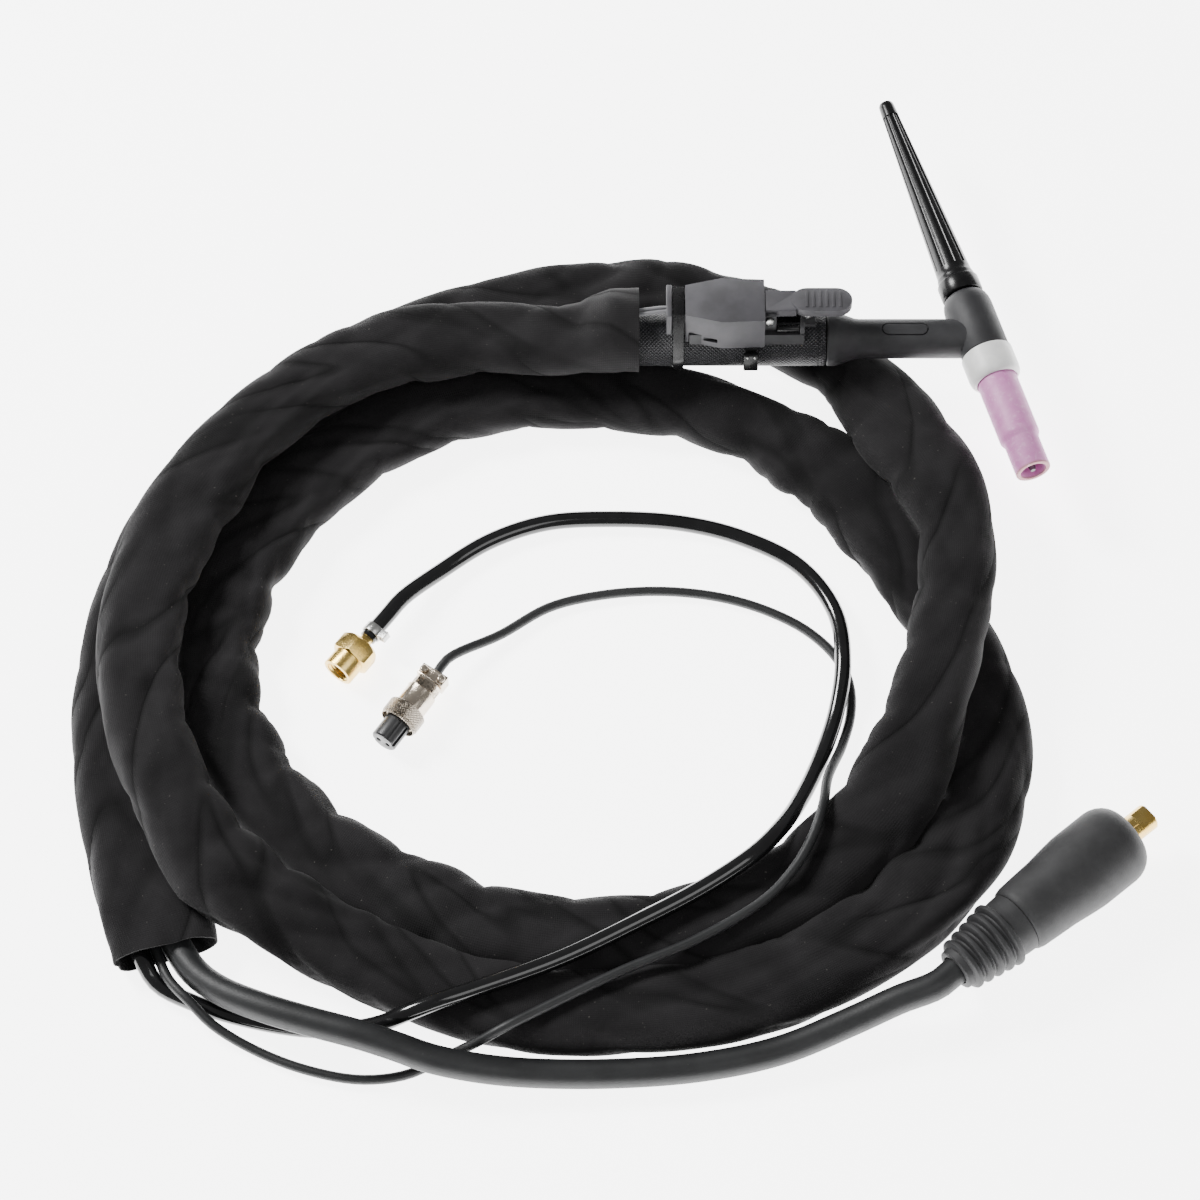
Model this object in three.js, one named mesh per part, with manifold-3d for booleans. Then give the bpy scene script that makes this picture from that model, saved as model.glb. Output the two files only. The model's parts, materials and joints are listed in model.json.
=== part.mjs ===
// An air-cooled TIG welding torch with its cable set, lying as it is packed: the torch rests on the
// coiled cable cover, and the power plug, gas nut and control plug lie free.
// Millimetres, +Z up. The origin is on the floor under the middle of the torch and cover.
import * as THREE from 'three';
import { mergeVertices } from 'three/addons/utils/BufferGeometryUtils.js';
import Module from 'manifold-3d';

const wasm = await Module();
wasm.setup();

// ---------------------------------------------------------------- driving dimensions

const GAP = 0.3; // clearance between pieces that touch
const ROUND = 20; // facets round a part over 8 mm
const FINE = 14; // facets round a smaller part
const OVERSHOOT = 1; // how far a cutting tool runs past the face that it leaves

// Torch: its frame starts at the handle's rear end, with X along the handle
const HANDLE_LENGTH = 93.8;
const HANDLE_RADIUS = 11.9;
const STRAND_TOP = 21.1; // the cover's strands pass under the handle below this height
const TORCH_PLACE = new THREE.Vector3(20, 100.5, STRAND_TOP + HANDLE_RADIUS);
const HANDLE_BORE = 9.2;
const SKIRT_LENGTH = 14;
const NECK_LENGTH = 53.7; // skirt end to head axis
const NECK_RADIUS = 8.7;
const HEAD_ANGLE = THREE.MathUtils.degToRad(73); // between handle axis and nozzle axis

// Head, along its own axis: +Z towards the back cap, zero where the handle axis crosses
const HEAD_TOP = 22.3;
const HEAD_BOTTOM = -8.2;
const HEAD_RADIUS = 10.9;
const CORE_RADIUS = 6.8;
const CORE_BORE = 4.5;
const CORE_TOP = 19.2;
const RING_RADIUS = 11.6;
const RING_HEIGHT = 14.3;
const NOZZLE_LENGTH = 48.2;
const NOZZLE_NEST = 1; // how far the nozzle sits inside the insulator ring
const NOZZLE_RADIUS = 9;
const NOZZLE_MOUTH_RADIUS = 7.8;
const NOZZLE_STEP = 31; // length of the wider part
const NOZZLE_THREAD = 6.2;
const NOZZLE_BORE = 5.7;
const COLLET_BODY_REACH = 21; // how far the collet body runs into the nozzle
const COLLET_RADIUS = 2.8;
const ELECTRODE_RADIUS = 1.6;
const ELECTRODE_LENGTH = 175;
const ELECTRODE_SETBACK = 0.5; // tip behind the nozzle mouth
const CAP_LENGTH = 107.3;
const CAP_COLLAR_HEIGHT = 11.4;
const CAP_COLLAR_RADIUS = 9.4;
const CAP_BASE_RADIUS = 7.9;
const CAP_TIP_RADIUS = 3.4;
const CAP_SPIGOT = 10.5; // threaded length inside the core
const CAP_FLUTES = 8;
const O_RING_RADIUS = 5.6;
const O_RING_WIRE = 1.2;
const NECK_TUBE_RADIUS = 4.7;
const NECK_TUBE_BORE = 2.7;

// Switch module: X from the handle's rear end, Z from the handle axis, turned about the handle
const SWITCH_TILT = THREE.MathUtils.degToRad(12);
const END_PLATE_START = 23.8;
const END_PLATE_THICKNESS = 2.4;
const STRAP_WIDTH = 4.6;
const COVER_LENGTH = 34.6;
const COVER_TOP = HANDLE_RADIUS + 12.6;
const COVER_SKIRT = HANDLE_RADIUS - 4;
const COVER_HALF_WIDTH = HANDLE_RADIUS + 1.4;
const COVER_WALL = 1.4;
const BASE_TOP = HANDLE_RADIUS + 1.6;
const BASE_HALF_WIDTH = HANDLE_RADIUS - 1.3;
const PIN_FROM_COVER = 2; // pivot ahead of the cover's front
const PIN_RADIUS = 1.15;
const PIN_HEIGHT = HANDLE_RADIUS + 8.1;
const ARM_HALF_WIDTH = 6;
const ARM_TOP = COVER_TOP - 0.2;
const ARM_UNDERSIDE = PIN_HEIGHT + 0.6;
const PAD_HALF_WIDTH = 6.9;
const PAD_LENGTH = 26.5;
const PAD_TOP = COVER_TOP + 0.5;
const PAD_UNDERSIDE = ARM_UNDERSIDE + 0.8;
const EAR_THICKNESS = 1.8;
const PLUNGER_RADIUS = 0.8;
const PLUNGER_FROM_PIN = 9;
const SPRING_RADIUS = 1.9;
const SPRING_WIRE = 0.35;
const SPRING_TURNS = 4;
const STRAP_THICKNESS = 1.2;
const LEAD_RADIUS = 0.9;

// Cables and their cover
const POWER_RADIUS = 6.2;
const CORE_WIRE_RADIUS = 3.1;
const HOSE_RADIUS = 3.65;
const HOSE_BORE = 2.4;
const CONTROL_RADIUS = 2.15;
const SLEEVE_WIDTH = 33;
const SLEEVE_HEIGHT = 18.4;
const SLEEVE_WALL = 1;
const CUFF_HALF_WIDTH = HANDLE_RADIUS + 7.6;
const CUFF_HALF_HEIGHT = HANDLE_RADIUS + 5.6;
const CUFF_SHIFT = new THREE.Vector2(2.5, 3.2); // cuff centre from the handle axis, in Y and Z
const CUFF_BEHIND = 16; // cuff length behind the handle's end
const CUFF_OVERLAP = 12; // cuff length over the handle
const POWER_LANE = -7.6; // cable places across the cover, from its middle to the coil's outside
const HOSE_LANE = 8;
const CONTROL_LANE = 1.45;
const JOINT_POWER_SIDE = -4.3; // places of core wire and hose inside the handle
const JOINT_HOSE_SIDE = 4.2;

// Power plug: its frame starts at the housing's front face, with X out along the pin
const PLUG_PLACE = new THREE.Vector3(234.5, -132.5, 18.3);
const PLUG_YAW = THREE.MathUtils.degToRad(40);
const PLUG_LENGTH = 96;
const PLUG_RADIUS = 17.8;
const BOOT_LENGTH = 34;
const BOOT_RIBS = 5;
const PIN_PLUG_RADIUS = 5.9;
const PIN_PLUG_LENGTH = 13;
const PIN_STEM_RADIUS = 8.4;
const PIN_STEM_LENGTH = 38;

// Gas fitting: its frame starts at the nut's mouth, with X out of the mouth
const GAS_PLACE = new THREE.Vector3(-97.4, -52, 9.4);
const GAS_YAW = THREE.MathUtils.degToRad(-127);
const NUT_FLATS = 16;
const NUT_HEX_LENGTH = 8.8;
const NUT_NOSE_LENGTH = 7.9;
const NUT_NOSE_RADIUS = 7.1;
const NUT_BORE = 5.4;
const NIPPLE_RADIUS = 2.9;
const NIPPLE_SHOWING = 4;
const BARB_LENGTH = 14;
const CLAMP_WIDTH = 4.2;

// Control plug: its frame starts at the insert's face, with X out of the face
const CONTROL_PLACE = new THREE.Vector3(-77.2, -84.9, 9);
const CONTROL_YAW = THREE.MathUtils.degToRad(-124.2);
const INSERT_RADIUS = 5.9;
const INSERT_SHOWING = 10.4;
const COUPLING_RADIUS = 8.8;
const COUPLING_LENGTH = 8.2;
const SHELL_RADIUS = 7;
const SHELL_LENGTH = 21.8;
const SADDLE_LENGTH = 5.2;

// ---------------------------------------------------------------- cable routes, chosen by hand

// middle of the cover, from the torch round two and a third turns to its open end
const SLEEVE_ROUTE = [
  [8, 100.5, TORCH_PLACE.z], [-7, 100.5, TORCH_PLACE.z - 0.4], [-22, 102, TORCH_PLACE.z - 2],
  [-40, 103.5, 29.4],
  [-73, 100, 29], [-109, 81, 29], [-143, 51, 29], [-166, 18, 29], [-179, -18, 29],
  [-182, -51, 29], [-178, -82, 29], [-169, -110, 29], [-156, -135, 28], [-134, -156, 21],
  [-106, -174, 12.5], [-72, -191, 9.3], [-41, -203, 9.3], [-8, -210, 9.3], [31, -210, 9.3],
  [71, -204, 9.3], [112, -188, 9.3], [148, -162, 9.3], [171, -132, 9.3], [181, -101, 9.3],
  [180, -70, 9.3], [168, -36, 9.3], [152, -7, 9.3], [136, 17, 9.3], [115, 42, 9.3],
  [88, 65, 9.3], [55, 80, 9.3], [15, 86, 9.3], [-25, 85, 9.3], [-59, 76, 9.3],
  [-89, 59, 9.3], [-115, 35, 9.3], [-135, 6, 9.3], [-147, -28, 9.3], [-147, -65, 9.3],
  [-134, -98, 9.3], [-112, -125, 9.3], [-81, -148, 9.3], [-47, -164, 9.3], [-10, -173, 9.3],
  [31, -173, 9.3], [66, -165, 10], [97, -148, 10], [125, -124, 14], [141, -101, 22],
  [154, -73, 29], [164, -37, 29], [168, -4, 29], [164, 29, 28.6], [149, 63, 20.5],
  [125, 97, 10.6], [91, 122, 9.3], [55, 135, 9.3], [17, 137, 9.3], [-19, 132, 9.3],
  [-56, 120, 9.3], [-95, 100, 9.3], [-131, 73, 9.3], [-159, 42, 9.3], [-180, 3, 9.3],
  [-191, -39, 9.3], [-193, -79, 9.3], [-188, -117, 9.3], [-179, -153, 9.3], [-167, -183, 9.3],
];

// each cable from the cover's open end to its plug
const POWER_ROUTE = [
  [-152, -192, 10.5], [-141, -201, 13], [-125, -209, 16], [-106, -216, 18], [-83, -223, 19],
  [-69, -227, 17], [-55, -231, 13.8], [-38, -234, 11.6], [-18, -235, 8], [17, -235, 6.4],
  [56, -232, 6.4], [89, -225, 7.4], [118, -214, 11.5], [138, -206, 16],
];
const HOSE_ROUTE = [
  [-168, -195, 5.5], [-152, -203, 4.1], [-134, -209, 4.1], [-109, -214, 4.1], [-92, -215, 5.2],
  [-82, -215, 8], [-73, -215, 13.5], [-65, -214, 19.8], [-52, -210, 22.9], [-38, -205, 22.9],
  [-2, -191, 22.9], [31, -174, 22.9], [56, -160, 23.3], [78, -145, 24.6], [89, -132, 20.5],
  [99, -114, 12], [109, -90, 6], [116, -68, 6], [119, -47, 9.3], [116, -20, 6],
  [101, 3, 4.1], [76, 17, 4.1], [50, 24, 4.1], [19, 26, 4.1], [-9, 24, 4.1],
  [-33, 15, 4.1], [-55, -1, 5],
];
const CONTROL_ROUTE = [
  [-163, -195, 10.4], [-154, -205, 11.2], [-145, -213, 6.5], [-129, -222, 2.6], [-108, -231, 2.6],
  [-84, -236, 2.6], [-65, -234, 2.6], [-52, -228, 2.8], [-42, -225, 8], [-34, -224, 15.5],
  [-25, -221, 21.2], [-10, -213, 21.4], [23, -196, 21.4], [56, -181, 21.6], [83, -164, 22.2],
  [95, -151, 23.2], [103, -137, 24], [108, -122, 23.5], [111, -104, 14.8], [118, -84, 4],
  [122, -69, 2.6], [122, -55, 2.6], [117, -42, 2.6], [105, -29, 2.6], [88, -19, 2.6],
  [67, -12, 2.6], [41, -9, 2.6], [15, -11, 2.6], [-7, -17, 2.8], [-28, -31, 4],
];

// ---------------------------------------------------------------- finishes

const FINISHES = {
  moulding: { color: '#3a3a3b', roughness: 0.72, metalness: 0 },
  knurledPlastic: { color: '#3c3c3e', roughness: 0.7, metalness: 0 },
  switchPlastic: { color: '#555457', roughness: 0.65, metalness: 0 },
  capPlastic: { color: '#1c1c1c', roughness: 0.22, metalness: 0 },
  ptfe: { color: '#f1f1ef', roughness: 0.4, metalness: 0 },
  alumina: { color: '#dda6cf', roughness: 0.55, metalness: 0 },
  tungsten: { color: '#4c4b4c', roughness: 0.4, metalness: 1 },
  brass: { color: '#d8b865', roughness: 0.3, metalness: 1 },
  copper: { color: '#c07a4e', roughness: 0.35, metalness: 1 },
  nickel: { color: '#c9b9a5', roughness: 0.25, metalness: 1 },
  steel: { color: '#b4b4b2', roughness: 0.35, metalness: 1 },
  rubber: { color: '#3c3c3c', roughness: 0.8, metalness: 0 },
  cableRubber: { color: '#333436', roughness: 0.75, metalness: 0 },
  hoseVinyl: { color: '#161617', roughness: 0.15, metalness: 0 },
  leadVinyl: { color: '#6b6b6d', roughness: 0.5, metalness: 0 },
  canvas: { color: '#2e2d2e', roughness: 0.95, metalness: 0 },
  insertPlastic: { color: '#2a2a2a', roughness: 0.45, metalness: 0 },
};

// ---------------------------------------------------------------- geometry helpers

const UP = new THREE.Vector3(0, 0, 1);

// A closed indexed surface with shared vertices, no slivers and its faces pointing out.
function closed(geometry) {
  const plain = geometry.clone();
  plain.deleteAttribute('normal');
  plain.deleteAttribute('uv');
  const merged = mergeVertices(plain, 1e-4);
  const index = merged.index.array;
  const position = merged.attributes.position;
  const corners = [new THREE.Vector3(), new THREE.Vector3(), new THREE.Vector3()];
  const kept = [];
  let volume = 0;
  for (let i = 0; i < index.length; i += 3) {
    const [a, b, c] = [index[i], index[i + 1], index[i + 2]];
    if (a === b || b === c || c === a) continue;
    kept.push(a, b, c);
    corners.forEach((corner, k) => corner.fromBufferAttribute(position, index[i + k]));
    volume += corners[0].dot(corners[1].clone().cross(corners[2]));
  }
  if (volume < 0) kept.reverse();
  merged.setIndex(kept);
  return merged;
}

function toSolid(geometry) {
  const merged = closed(geometry);
  return new wasm.Manifold(new wasm.Mesh({
    numProp: 3,
    vertProperties: new Float32Array(merged.attributes.position.array),
    triVerts: new Uint32Array(merged.index.array),
  }));
}

function fromSolid(solid) {
  const mesh = solid.getMesh();
  const geometry = new THREE.BufferGeometry();
  geometry.setAttribute('position', new THREE.BufferAttribute(mesh.vertProperties, 3));
  geometry.setIndex(new THREE.BufferAttribute(mesh.triVerts, 1));
  return geometry;
}

function cut(base, ...tools) {
  return fromSolid(tools.reduce((solid, tool) => solid.subtract(toSolid(tool)), toSolid(base)));
}

function join(base, ...others) {
  return fromSolid(others.reduce((solid, other) => solid.add(toSolid(other)), toSolid(base)));
}

// Turned about Z from a profile of [radius, height] points.
function turned(profile, facets = ROUND) {
  const points = profile.map(([radius, height]) => new THREE.Vector2(radius, height));
  return new THREE.LatheGeometry(points, facets).rotateX(Math.PI / 2);
}

// Turned about X from a profile of [radius, x] points.
function turnedX(profile, facets = ROUND) {
  return turned(profile, facets).rotateY(Math.PI / 2);
}

function rod(radius, from, to, facets = ROUND) {
  return turned([[0, from], [radius, from], [radius, to], [0, to]], facets);
}

function rodX(radius, from, to, facets = ROUND) {
  return rod(radius, from, to, facets).rotateY(Math.PI / 2);
}

function rodY(radius, from, to, facets = FINE) {
  return rod(radius, from, to, facets).rotateX(-Math.PI / 2);
}

function tube(outer, inner, from, to, facets = ROUND) {
  return turned([[inner, from], [outer, from], [outer, to], [inner, to], [inner, from]], facets);
}

function tubeX(outer, inner, from, to, facets = ROUND) {
  return tube(outer, inner, from, to, facets).rotateY(Math.PI / 2);
}

function block(x0, x1, y0, y1, z0, z1) {
  const box = new THREE.BoxGeometry(x1 - x0, y1 - y0, z1 - z0);
  return box.translate((x0 + x1) / 2, (y0 + y1) / 2, (z0 + z1) / 2);
}

function prism(shape, depth, facets = 6) {
  return new THREE.ExtrudeGeometry(shape, { depth, bevelEnabled: false, curveSegments: facets });
}

// A flat shape drawn in the X-Z plane and given thickness from y0 to y1.
function plateXZ(points, y0, y1) {
  const shape = new THREE.Shape(points.map(([x, z]) => new THREE.Vector2(x, z)));
  return prism(shape, y1 - y0).rotateX(Math.PI / 2).translate(0, y1, 0);
}

// A slot shape with round ends along X, for ExtrudeGeometry.
function slotShape(length, width, Outline = THREE.Shape) {
  const half = length / 2 - width / 2;
  const outline = new Outline();
  outline.absarc(half, 0, width / 2, -Math.PI / 2, Math.PI / 2, false);
  outline.absarc(-half, 0, width / 2, Math.PI / 2, (3 * Math.PI) / 2, false);
  return outline;
}

// A route through hand-chosen points whose cross-section stays level.
class LaidCurve extends THREE.CatmullRomCurve3 {
  getSpacedPoints(divisions) {
    return this.getPoints(divisions);
  }

  frameAt(t) {
    const tangent = this.getTangent(t);
    const binormal = new THREE.Vector3().crossVectors(tangent, UP).normalize();
    const normal = new THREE.Vector3().crossVectors(binormal, tangent);
    return { tangent, normal, binormal };
  }

  computeFrenetFrames(segments) {
    const frames = Array.from({ length: segments + 1 }, (_, i) => this.frameAt(i / segments));
    return {
      tangents: frames.map((frame) => frame.tangent),
      normals: frames.map((frame) => frame.normal),
      binormals: frames.map((frame) => frame.binormal),
    };
  }
}

function swept(section, points, facets, stepsEach = 1) {
  const path = new LaidCurve(points);
  const steps = (points.length - 1) * stepsEach;
  const curveSegments = facets / 2; // a full circle gets two facets for each
  return new THREE.ExtrudeGeometry(section, { steps, curveSegments, extrudePath: path });
}

function circle(radius) {
  const shape = new THREE.Shape();
  shape.absarc(0, 0, radius, 0, 2 * Math.PI, false);
  return shape;
}

function vectors(route) {
  return route.map(([x, y, z]) => new THREE.Vector3(x, y, z));
}

// Points along an axis through place, at these distances behind it.
function pointsBehind(place, yaw, distances) {
  const out = new THREE.Vector3(Math.cos(yaw), Math.sin(yaw), 0);
  return distances.map((distance) => place.clone().addScaledVector(out, -distance));
}

function piece(name, geometry, finish) {
  const body = closed(geometry);
  body.computeVertexNormals();
  const mesh = new THREE.Mesh(body, new THREE.MeshStandardMaterial(FINISHES[finish]));
  mesh.name = name;
  return mesh;
}

function groupOf(place, yaw, children) {
  const group = new THREE.Group();
  group.position.copy(place);
  group.rotation.z = yaw;
  group.add(...children);
  return group;
}

// ---------------------------------------------------------------- torch head

const HEAD_X = HANDLE_LENGTH + GAP + SKIRT_LENGTH + NECK_LENGTH;
const RING_TOP = HEAD_BOTTOM - GAP;
const RING_BOTTOM = RING_TOP - RING_HEIGHT;
const NOZZLE_REAR = RING_BOTTOM + NOZZLE_NEST;
const NOZZLE_MOUTH = NOZZLE_REAR - NOZZLE_LENGTH;
const CORE_BOTTOM = RING_TOP - 2.5;
const COLLAR_BOTTOM = HEAD_TOP + GAP;
const COLLAR_TOP = COLLAR_BOTTOM + CAP_COLLAR_HEIGHT;
const CAP_TIP = COLLAR_BOTTOM + CAP_LENGTH;
const COLLET_BODY_FRONT = NOZZLE_REAR - COLLET_BODY_REACH;
const COLLET_BODY_WALL = 3;
const ELECTRODE_TIP = NOZZLE_MOUTH + ELECTRODE_SETBACK;
const NECK_TUBE_FRONT = HEAD_X - (CORE_RADIUS + GAP + NECK_TUBE_RADIUS * Math.cos(HEAD_ANGLE))
  / Math.sin(HEAD_ANGLE) - GAP;

// Turns a shape made on the head axis into the torch frame.
function ontoHead(geometry) {
  return geometry.rotateX(-Math.PI / 2).rotateZ(Math.PI / 2 - HEAD_ANGLE).translate(HEAD_X, 0, 0);
}

function headBody() {
  const shoulder = 3;
  const head = turned([
    [0, HEAD_BOTTOM], [HEAD_RADIUS - 0.8, HEAD_BOTTOM], [HEAD_RADIUS, HEAD_BOTTOM + 0.8],
    [HEAD_RADIUS, HEAD_TOP - 2 * shoulder], [HEAD_RADIUS - 0.8, HEAD_TOP - shoulder],
    [HEAD_RADIUS - 2.4, HEAD_TOP], [0, HEAD_TOP],
  ]);
  const skirtStart = HANDLE_LENGTH + GAP;
  const skirtEnd = skirtStart + SKIRT_LENGTH;
  const neck = turnedX([
    [0, skirtStart], [HANDLE_RADIUS - 0.5, skirtStart], [HANDLE_RADIUS, skirtStart + 0.6],
    [HANDLE_RADIUS, skirtStart + 3], [NECK_RADIUS + 0.8, skirtEnd - 3], [NECK_RADIUS, skirtEnd],
    [NECK_RADIUS, HEAD_X], [0, HEAD_X],
  ]);
  const labelDepth = 0.85;
  const label = prism(slotShape(20.6, 6.4), HANDLE_RADIUS);
  label.translate(skirtEnd + 20.3, 0, NECK_RADIUS - labelDepth);
  const mainBore = rod(CORE_RADIUS + GAP, HEAD_BOTTOM - OVERSHOOT, HEAD_TOP + OVERSHOOT);
  const neckBore = rodX(NECK_TUBE_RADIUS + GAP, skirtStart - OVERSHOOT, HEAD_X, FINE);
  const shell = join(ontoHead(head), neck);
  return piece('head_body', cut(shell, ontoHead(mainBore), neckBore, label), 'moulding');
}

function headCore() {
  const core = tube(CORE_RADIUS, CORE_BORE, CORE_BOTTOM, CORE_TOP);
  const gasPort = rodX(NECK_TUBE_BORE, -2 * CORE_RADIUS, 0, FINE);
  gasPort.rotateZ(HEAD_ANGLE - Math.PI / 2).rotateX(Math.PI / 2);
  return piece('head_core', cut(core, gasPort), 'brass');
}

function neckTube() {
  const rear = JOINT_FRONT - JOINT_SOCKET;
  const pipe = tubeX(NECK_TUBE_RADIUS, NECK_TUBE_BORE, rear, NECK_TUBE_FRONT, FINE);
  return piece('neck_tube', pipe, 'copper');
}

function colletBody() {
  const thread = NOZZLE_THREAD - GAP;
  const shank = CORE_BORE - GAP;
  const step = CORE_BOTTOM - GAP;
  const shankTop = 7;
  const nose = COLLET_BODY_FRONT;
  const noseRadius = NOZZLE_BORE - 1.1;
  const bore = COLLET_RADIUS + GAP;
  return piece('collet_body', turned([
    [bore, shankTop], [bore, nose + COLLET_BODY_WALL], [ELECTRODE_RADIUS + GAP, nose + 1],
    [ELECTRODE_RADIUS + GAP, nose], [noseRadius - 0.6, nose], [noseRadius, nose + 0.6],
    [noseRadius, nose + 10], [thread, nose + 11], [thread, step], [shank, step],
    [shank, shankTop], [bore, shankTop],
  ]), 'copper');
}

function collet() {
  const front = COLLET_BODY_FRONT + COLLET_BODY_WALL + GAP;
  const rear = HEAD_TOP + 4;
  const slitLength = 14;
  const slit = 0.7;
  const sleeve = turned([
    [ELECTRODE_RADIUS + GAP, front], [COLLET_RADIUS - 0.5, front], [COLLET_RADIUS, front + 1],
    [COLLET_RADIUS, rear], [ELECTRODE_RADIUS + GAP, rear], [ELECTRODE_RADIUS + GAP, front],
  ], FINE);
  const slot = block(-2 * COLLET_RADIUS, 2 * COLLET_RADIUS, -slit / 2, slit / 2,
    front - OVERSHOOT, front + slitLength);
  return piece('collet', cut(sleeve, slot), 'copper');
}

function electrode() {
  const taper = 1.5;
  const tipRadius = ELECTRODE_RADIUS - 0.5;
  return piece('tungsten_electrode', turned([
    [0, ELECTRODE_TIP], [tipRadius, ELECTRODE_TIP], [ELECTRODE_RADIUS, ELECTRODE_TIP + taper],
    [ELECTRODE_RADIUS, ELECTRODE_TIP + ELECTRODE_LENGTH], [0, ELECTRODE_TIP + ELECTRODE_LENGTH],
  ], 12), 'tungsten');
}

function insulatorRing() {
  const recess = NOZZLE_RADIUS + GAP;
  const hole = Math.max(NOZZLE_THREAD, CORE_RADIUS + GAP);
  const seat = NOZZLE_REAR + GAP;
  const edge = RING_RADIUS - 2.2;
  return piece('insulator_ring', turned([
    [hole, RING_TOP], [hole, CORE_BOTTOM - GAP], [NOZZLE_THREAD, CORE_BOTTOM - GAP],
    [NOZZLE_THREAD, seat], [recess, seat], [recess, RING_BOTTOM], [edge, RING_BOTTOM],
    [edge + 1.4, RING_BOTTOM + 0.7], [RING_RADIUS, RING_BOTTOM + 3],
    [RING_RADIUS, RING_TOP], [hole, RING_TOP],
  ]), 'ptfe');
}

function aluminaNozzle() {
  const step = NOZZLE_REAR - NOZZLE_STEP;
  const threadEnd = NOZZLE_REAR - 12;
  return piece('alumina_nozzle', turned([
    [NOZZLE_BORE, NOZZLE_MOUTH], [NOZZLE_MOUTH_RADIUS, NOZZLE_MOUTH],
    [NOZZLE_MOUTH_RADIUS, step - 1.5], [NOZZLE_RADIUS, step], [NOZZLE_RADIUS, NOZZLE_REAR],
    [NOZZLE_THREAD, NOZZLE_REAR], [NOZZLE_THREAD, threadEnd], [NOZZLE_BORE, threadEnd - 1],
    [NOZZLE_BORE, NOZZLE_MOUTH],
  ]), 'alumina');
}

function backCap() {
  const thread = CORE_BORE - GAP;
  const groove = O_RING_RADIUS - O_RING_WIRE - GAP;
  const spigotEnd = CORE_TOP - CAP_SPIGOT;
  const colletRoom = HEAD_TOP + 5;
  const fluteStart = COLLAR_TOP + 2;
  const fluteEnd = CAP_TIP - 6;
  const blank = turned([
    [COLLET_RADIUS + GAP, spigotEnd], [thread, spigotEnd], [thread, CORE_TOP - GAP],
    [groove, CORE_TOP - GAP], [groove, COLLAR_BOTTOM], [CAP_COLLAR_RADIUS - 0.6, COLLAR_BOTTOM],
    [CAP_COLLAR_RADIUS, COLLAR_BOTTOM + 0.6], [CAP_COLLAR_RADIUS, COLLAR_TOP - 3.6],
    [CAP_COLLAR_RADIUS - 0.9, COLLAR_TOP - 3], [CAP_COLLAR_RADIUS - 0.9, COLLAR_TOP - 1.2],
    [CAP_BASE_RADIUS, COLLAR_TOP], [CAP_TIP_RADIUS, CAP_TIP - 0.8], [CAP_TIP_RADIUS - 0.8, CAP_TIP],
    [0, CAP_TIP], [0, ELECTRODE_ROOM], [ELECTRODE_RADIUS + GAP, ELECTRODE_ROOM],
    [ELECTRODE_RADIUS + GAP, colletRoom + 2], [COLLET_RADIUS + GAP, colletRoom],
    [COLLET_RADIUS + GAP, spigotEnd],
  ]);
  const flutes = [];
  const slope = Math.atan((CAP_BASE_RADIUS - CAP_TIP_RADIUS) / (CAP_TIP - COLLAR_TOP));
  const toolRadius = 1.5;
  const depth = 0.75;
  for (let i = 0; i < CAP_FLUTES; i += 1) {
    const tool = rod(toolRadius, 0, (fluteEnd - fluteStart) / Math.cos(slope), 8);
    const start = CAP_BASE_RADIUS - Math.tan(slope) * (fluteStart - COLLAR_TOP);
    tool.rotateY(-slope).translate(start + toolRadius - depth, 0, fluteStart);
    flutes.push(tool.rotateZ((i * 2 * Math.PI) / CAP_FLUTES));
  }
  return piece('back_cap', cut(blank, ...flutes), 'capPlastic');
}

const ELECTRODE_ROOM = ELECTRODE_TIP + ELECTRODE_LENGTH + 6;

function backCapORing() {
  const ring = new THREE.TorusGeometry(O_RING_RADIUS, O_RING_WIRE, 8, ROUND);
  ring.translate(0, 0, CORE_TOP + GAP + O_RING_WIRE);
  return piece('back_cap_o_ring', ring, 'rubber');
}

function headGroup() {
  const onAxis = new THREE.Group();
  onAxis.rotation.x = -Math.PI / 2;
  onAxis.add(headCore(), colletBody(), collet(), electrode(), insulatorRing(), aluminaNozzle(),
    backCap(), backCapORing());
  return groupOf(new THREE.Vector3(HEAD_X, 0, 0), Math.PI / 2 - HEAD_ANGLE, [onAxis]);
}

// ---------------------------------------------------------------- handle and what is inside it

const JOINT_FRONT = 50.8;
const JOINT_BODY = 24;
const JOINT_SOCKET = 9;
const SPIGOT_LENGTH = 9;

function handleTube() {
  const rim = 0.8;
  return piece('handle_tube', turnedX([
    [HANDLE_BORE, 0], [HANDLE_RADIUS - rim, 0], [HANDLE_RADIUS, rim],
    [HANDLE_RADIUS, HANDLE_LENGTH - rim], [HANDLE_RADIUS - rim, HANDLE_LENGTH],
    [HANDLE_BORE, HANDLE_LENGTH], [HANDLE_BORE, 0],
  ]), 'knurledPlastic');
}

function handleRearBush() {
  const disc = rodX(HANDLE_BORE - GAP, GAP, 9);
  const wireHole = rodX(CORE_WIRE_RADIUS + GAP, -OVERSHOOT, 10, FINE);
  wireHole.translate(0, JOINT_POWER_SIDE, 0);
  const hoseHole = rodX(HOSE_RADIUS + GAP, -OVERSHOOT, 10, FINE);
  hoseHole.translate(0, JOINT_HOSE_SIDE, 0);
  return piece('handle_rear_bush', cut(disc, wireHole, hoseHole), 'rubber');
}

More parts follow.
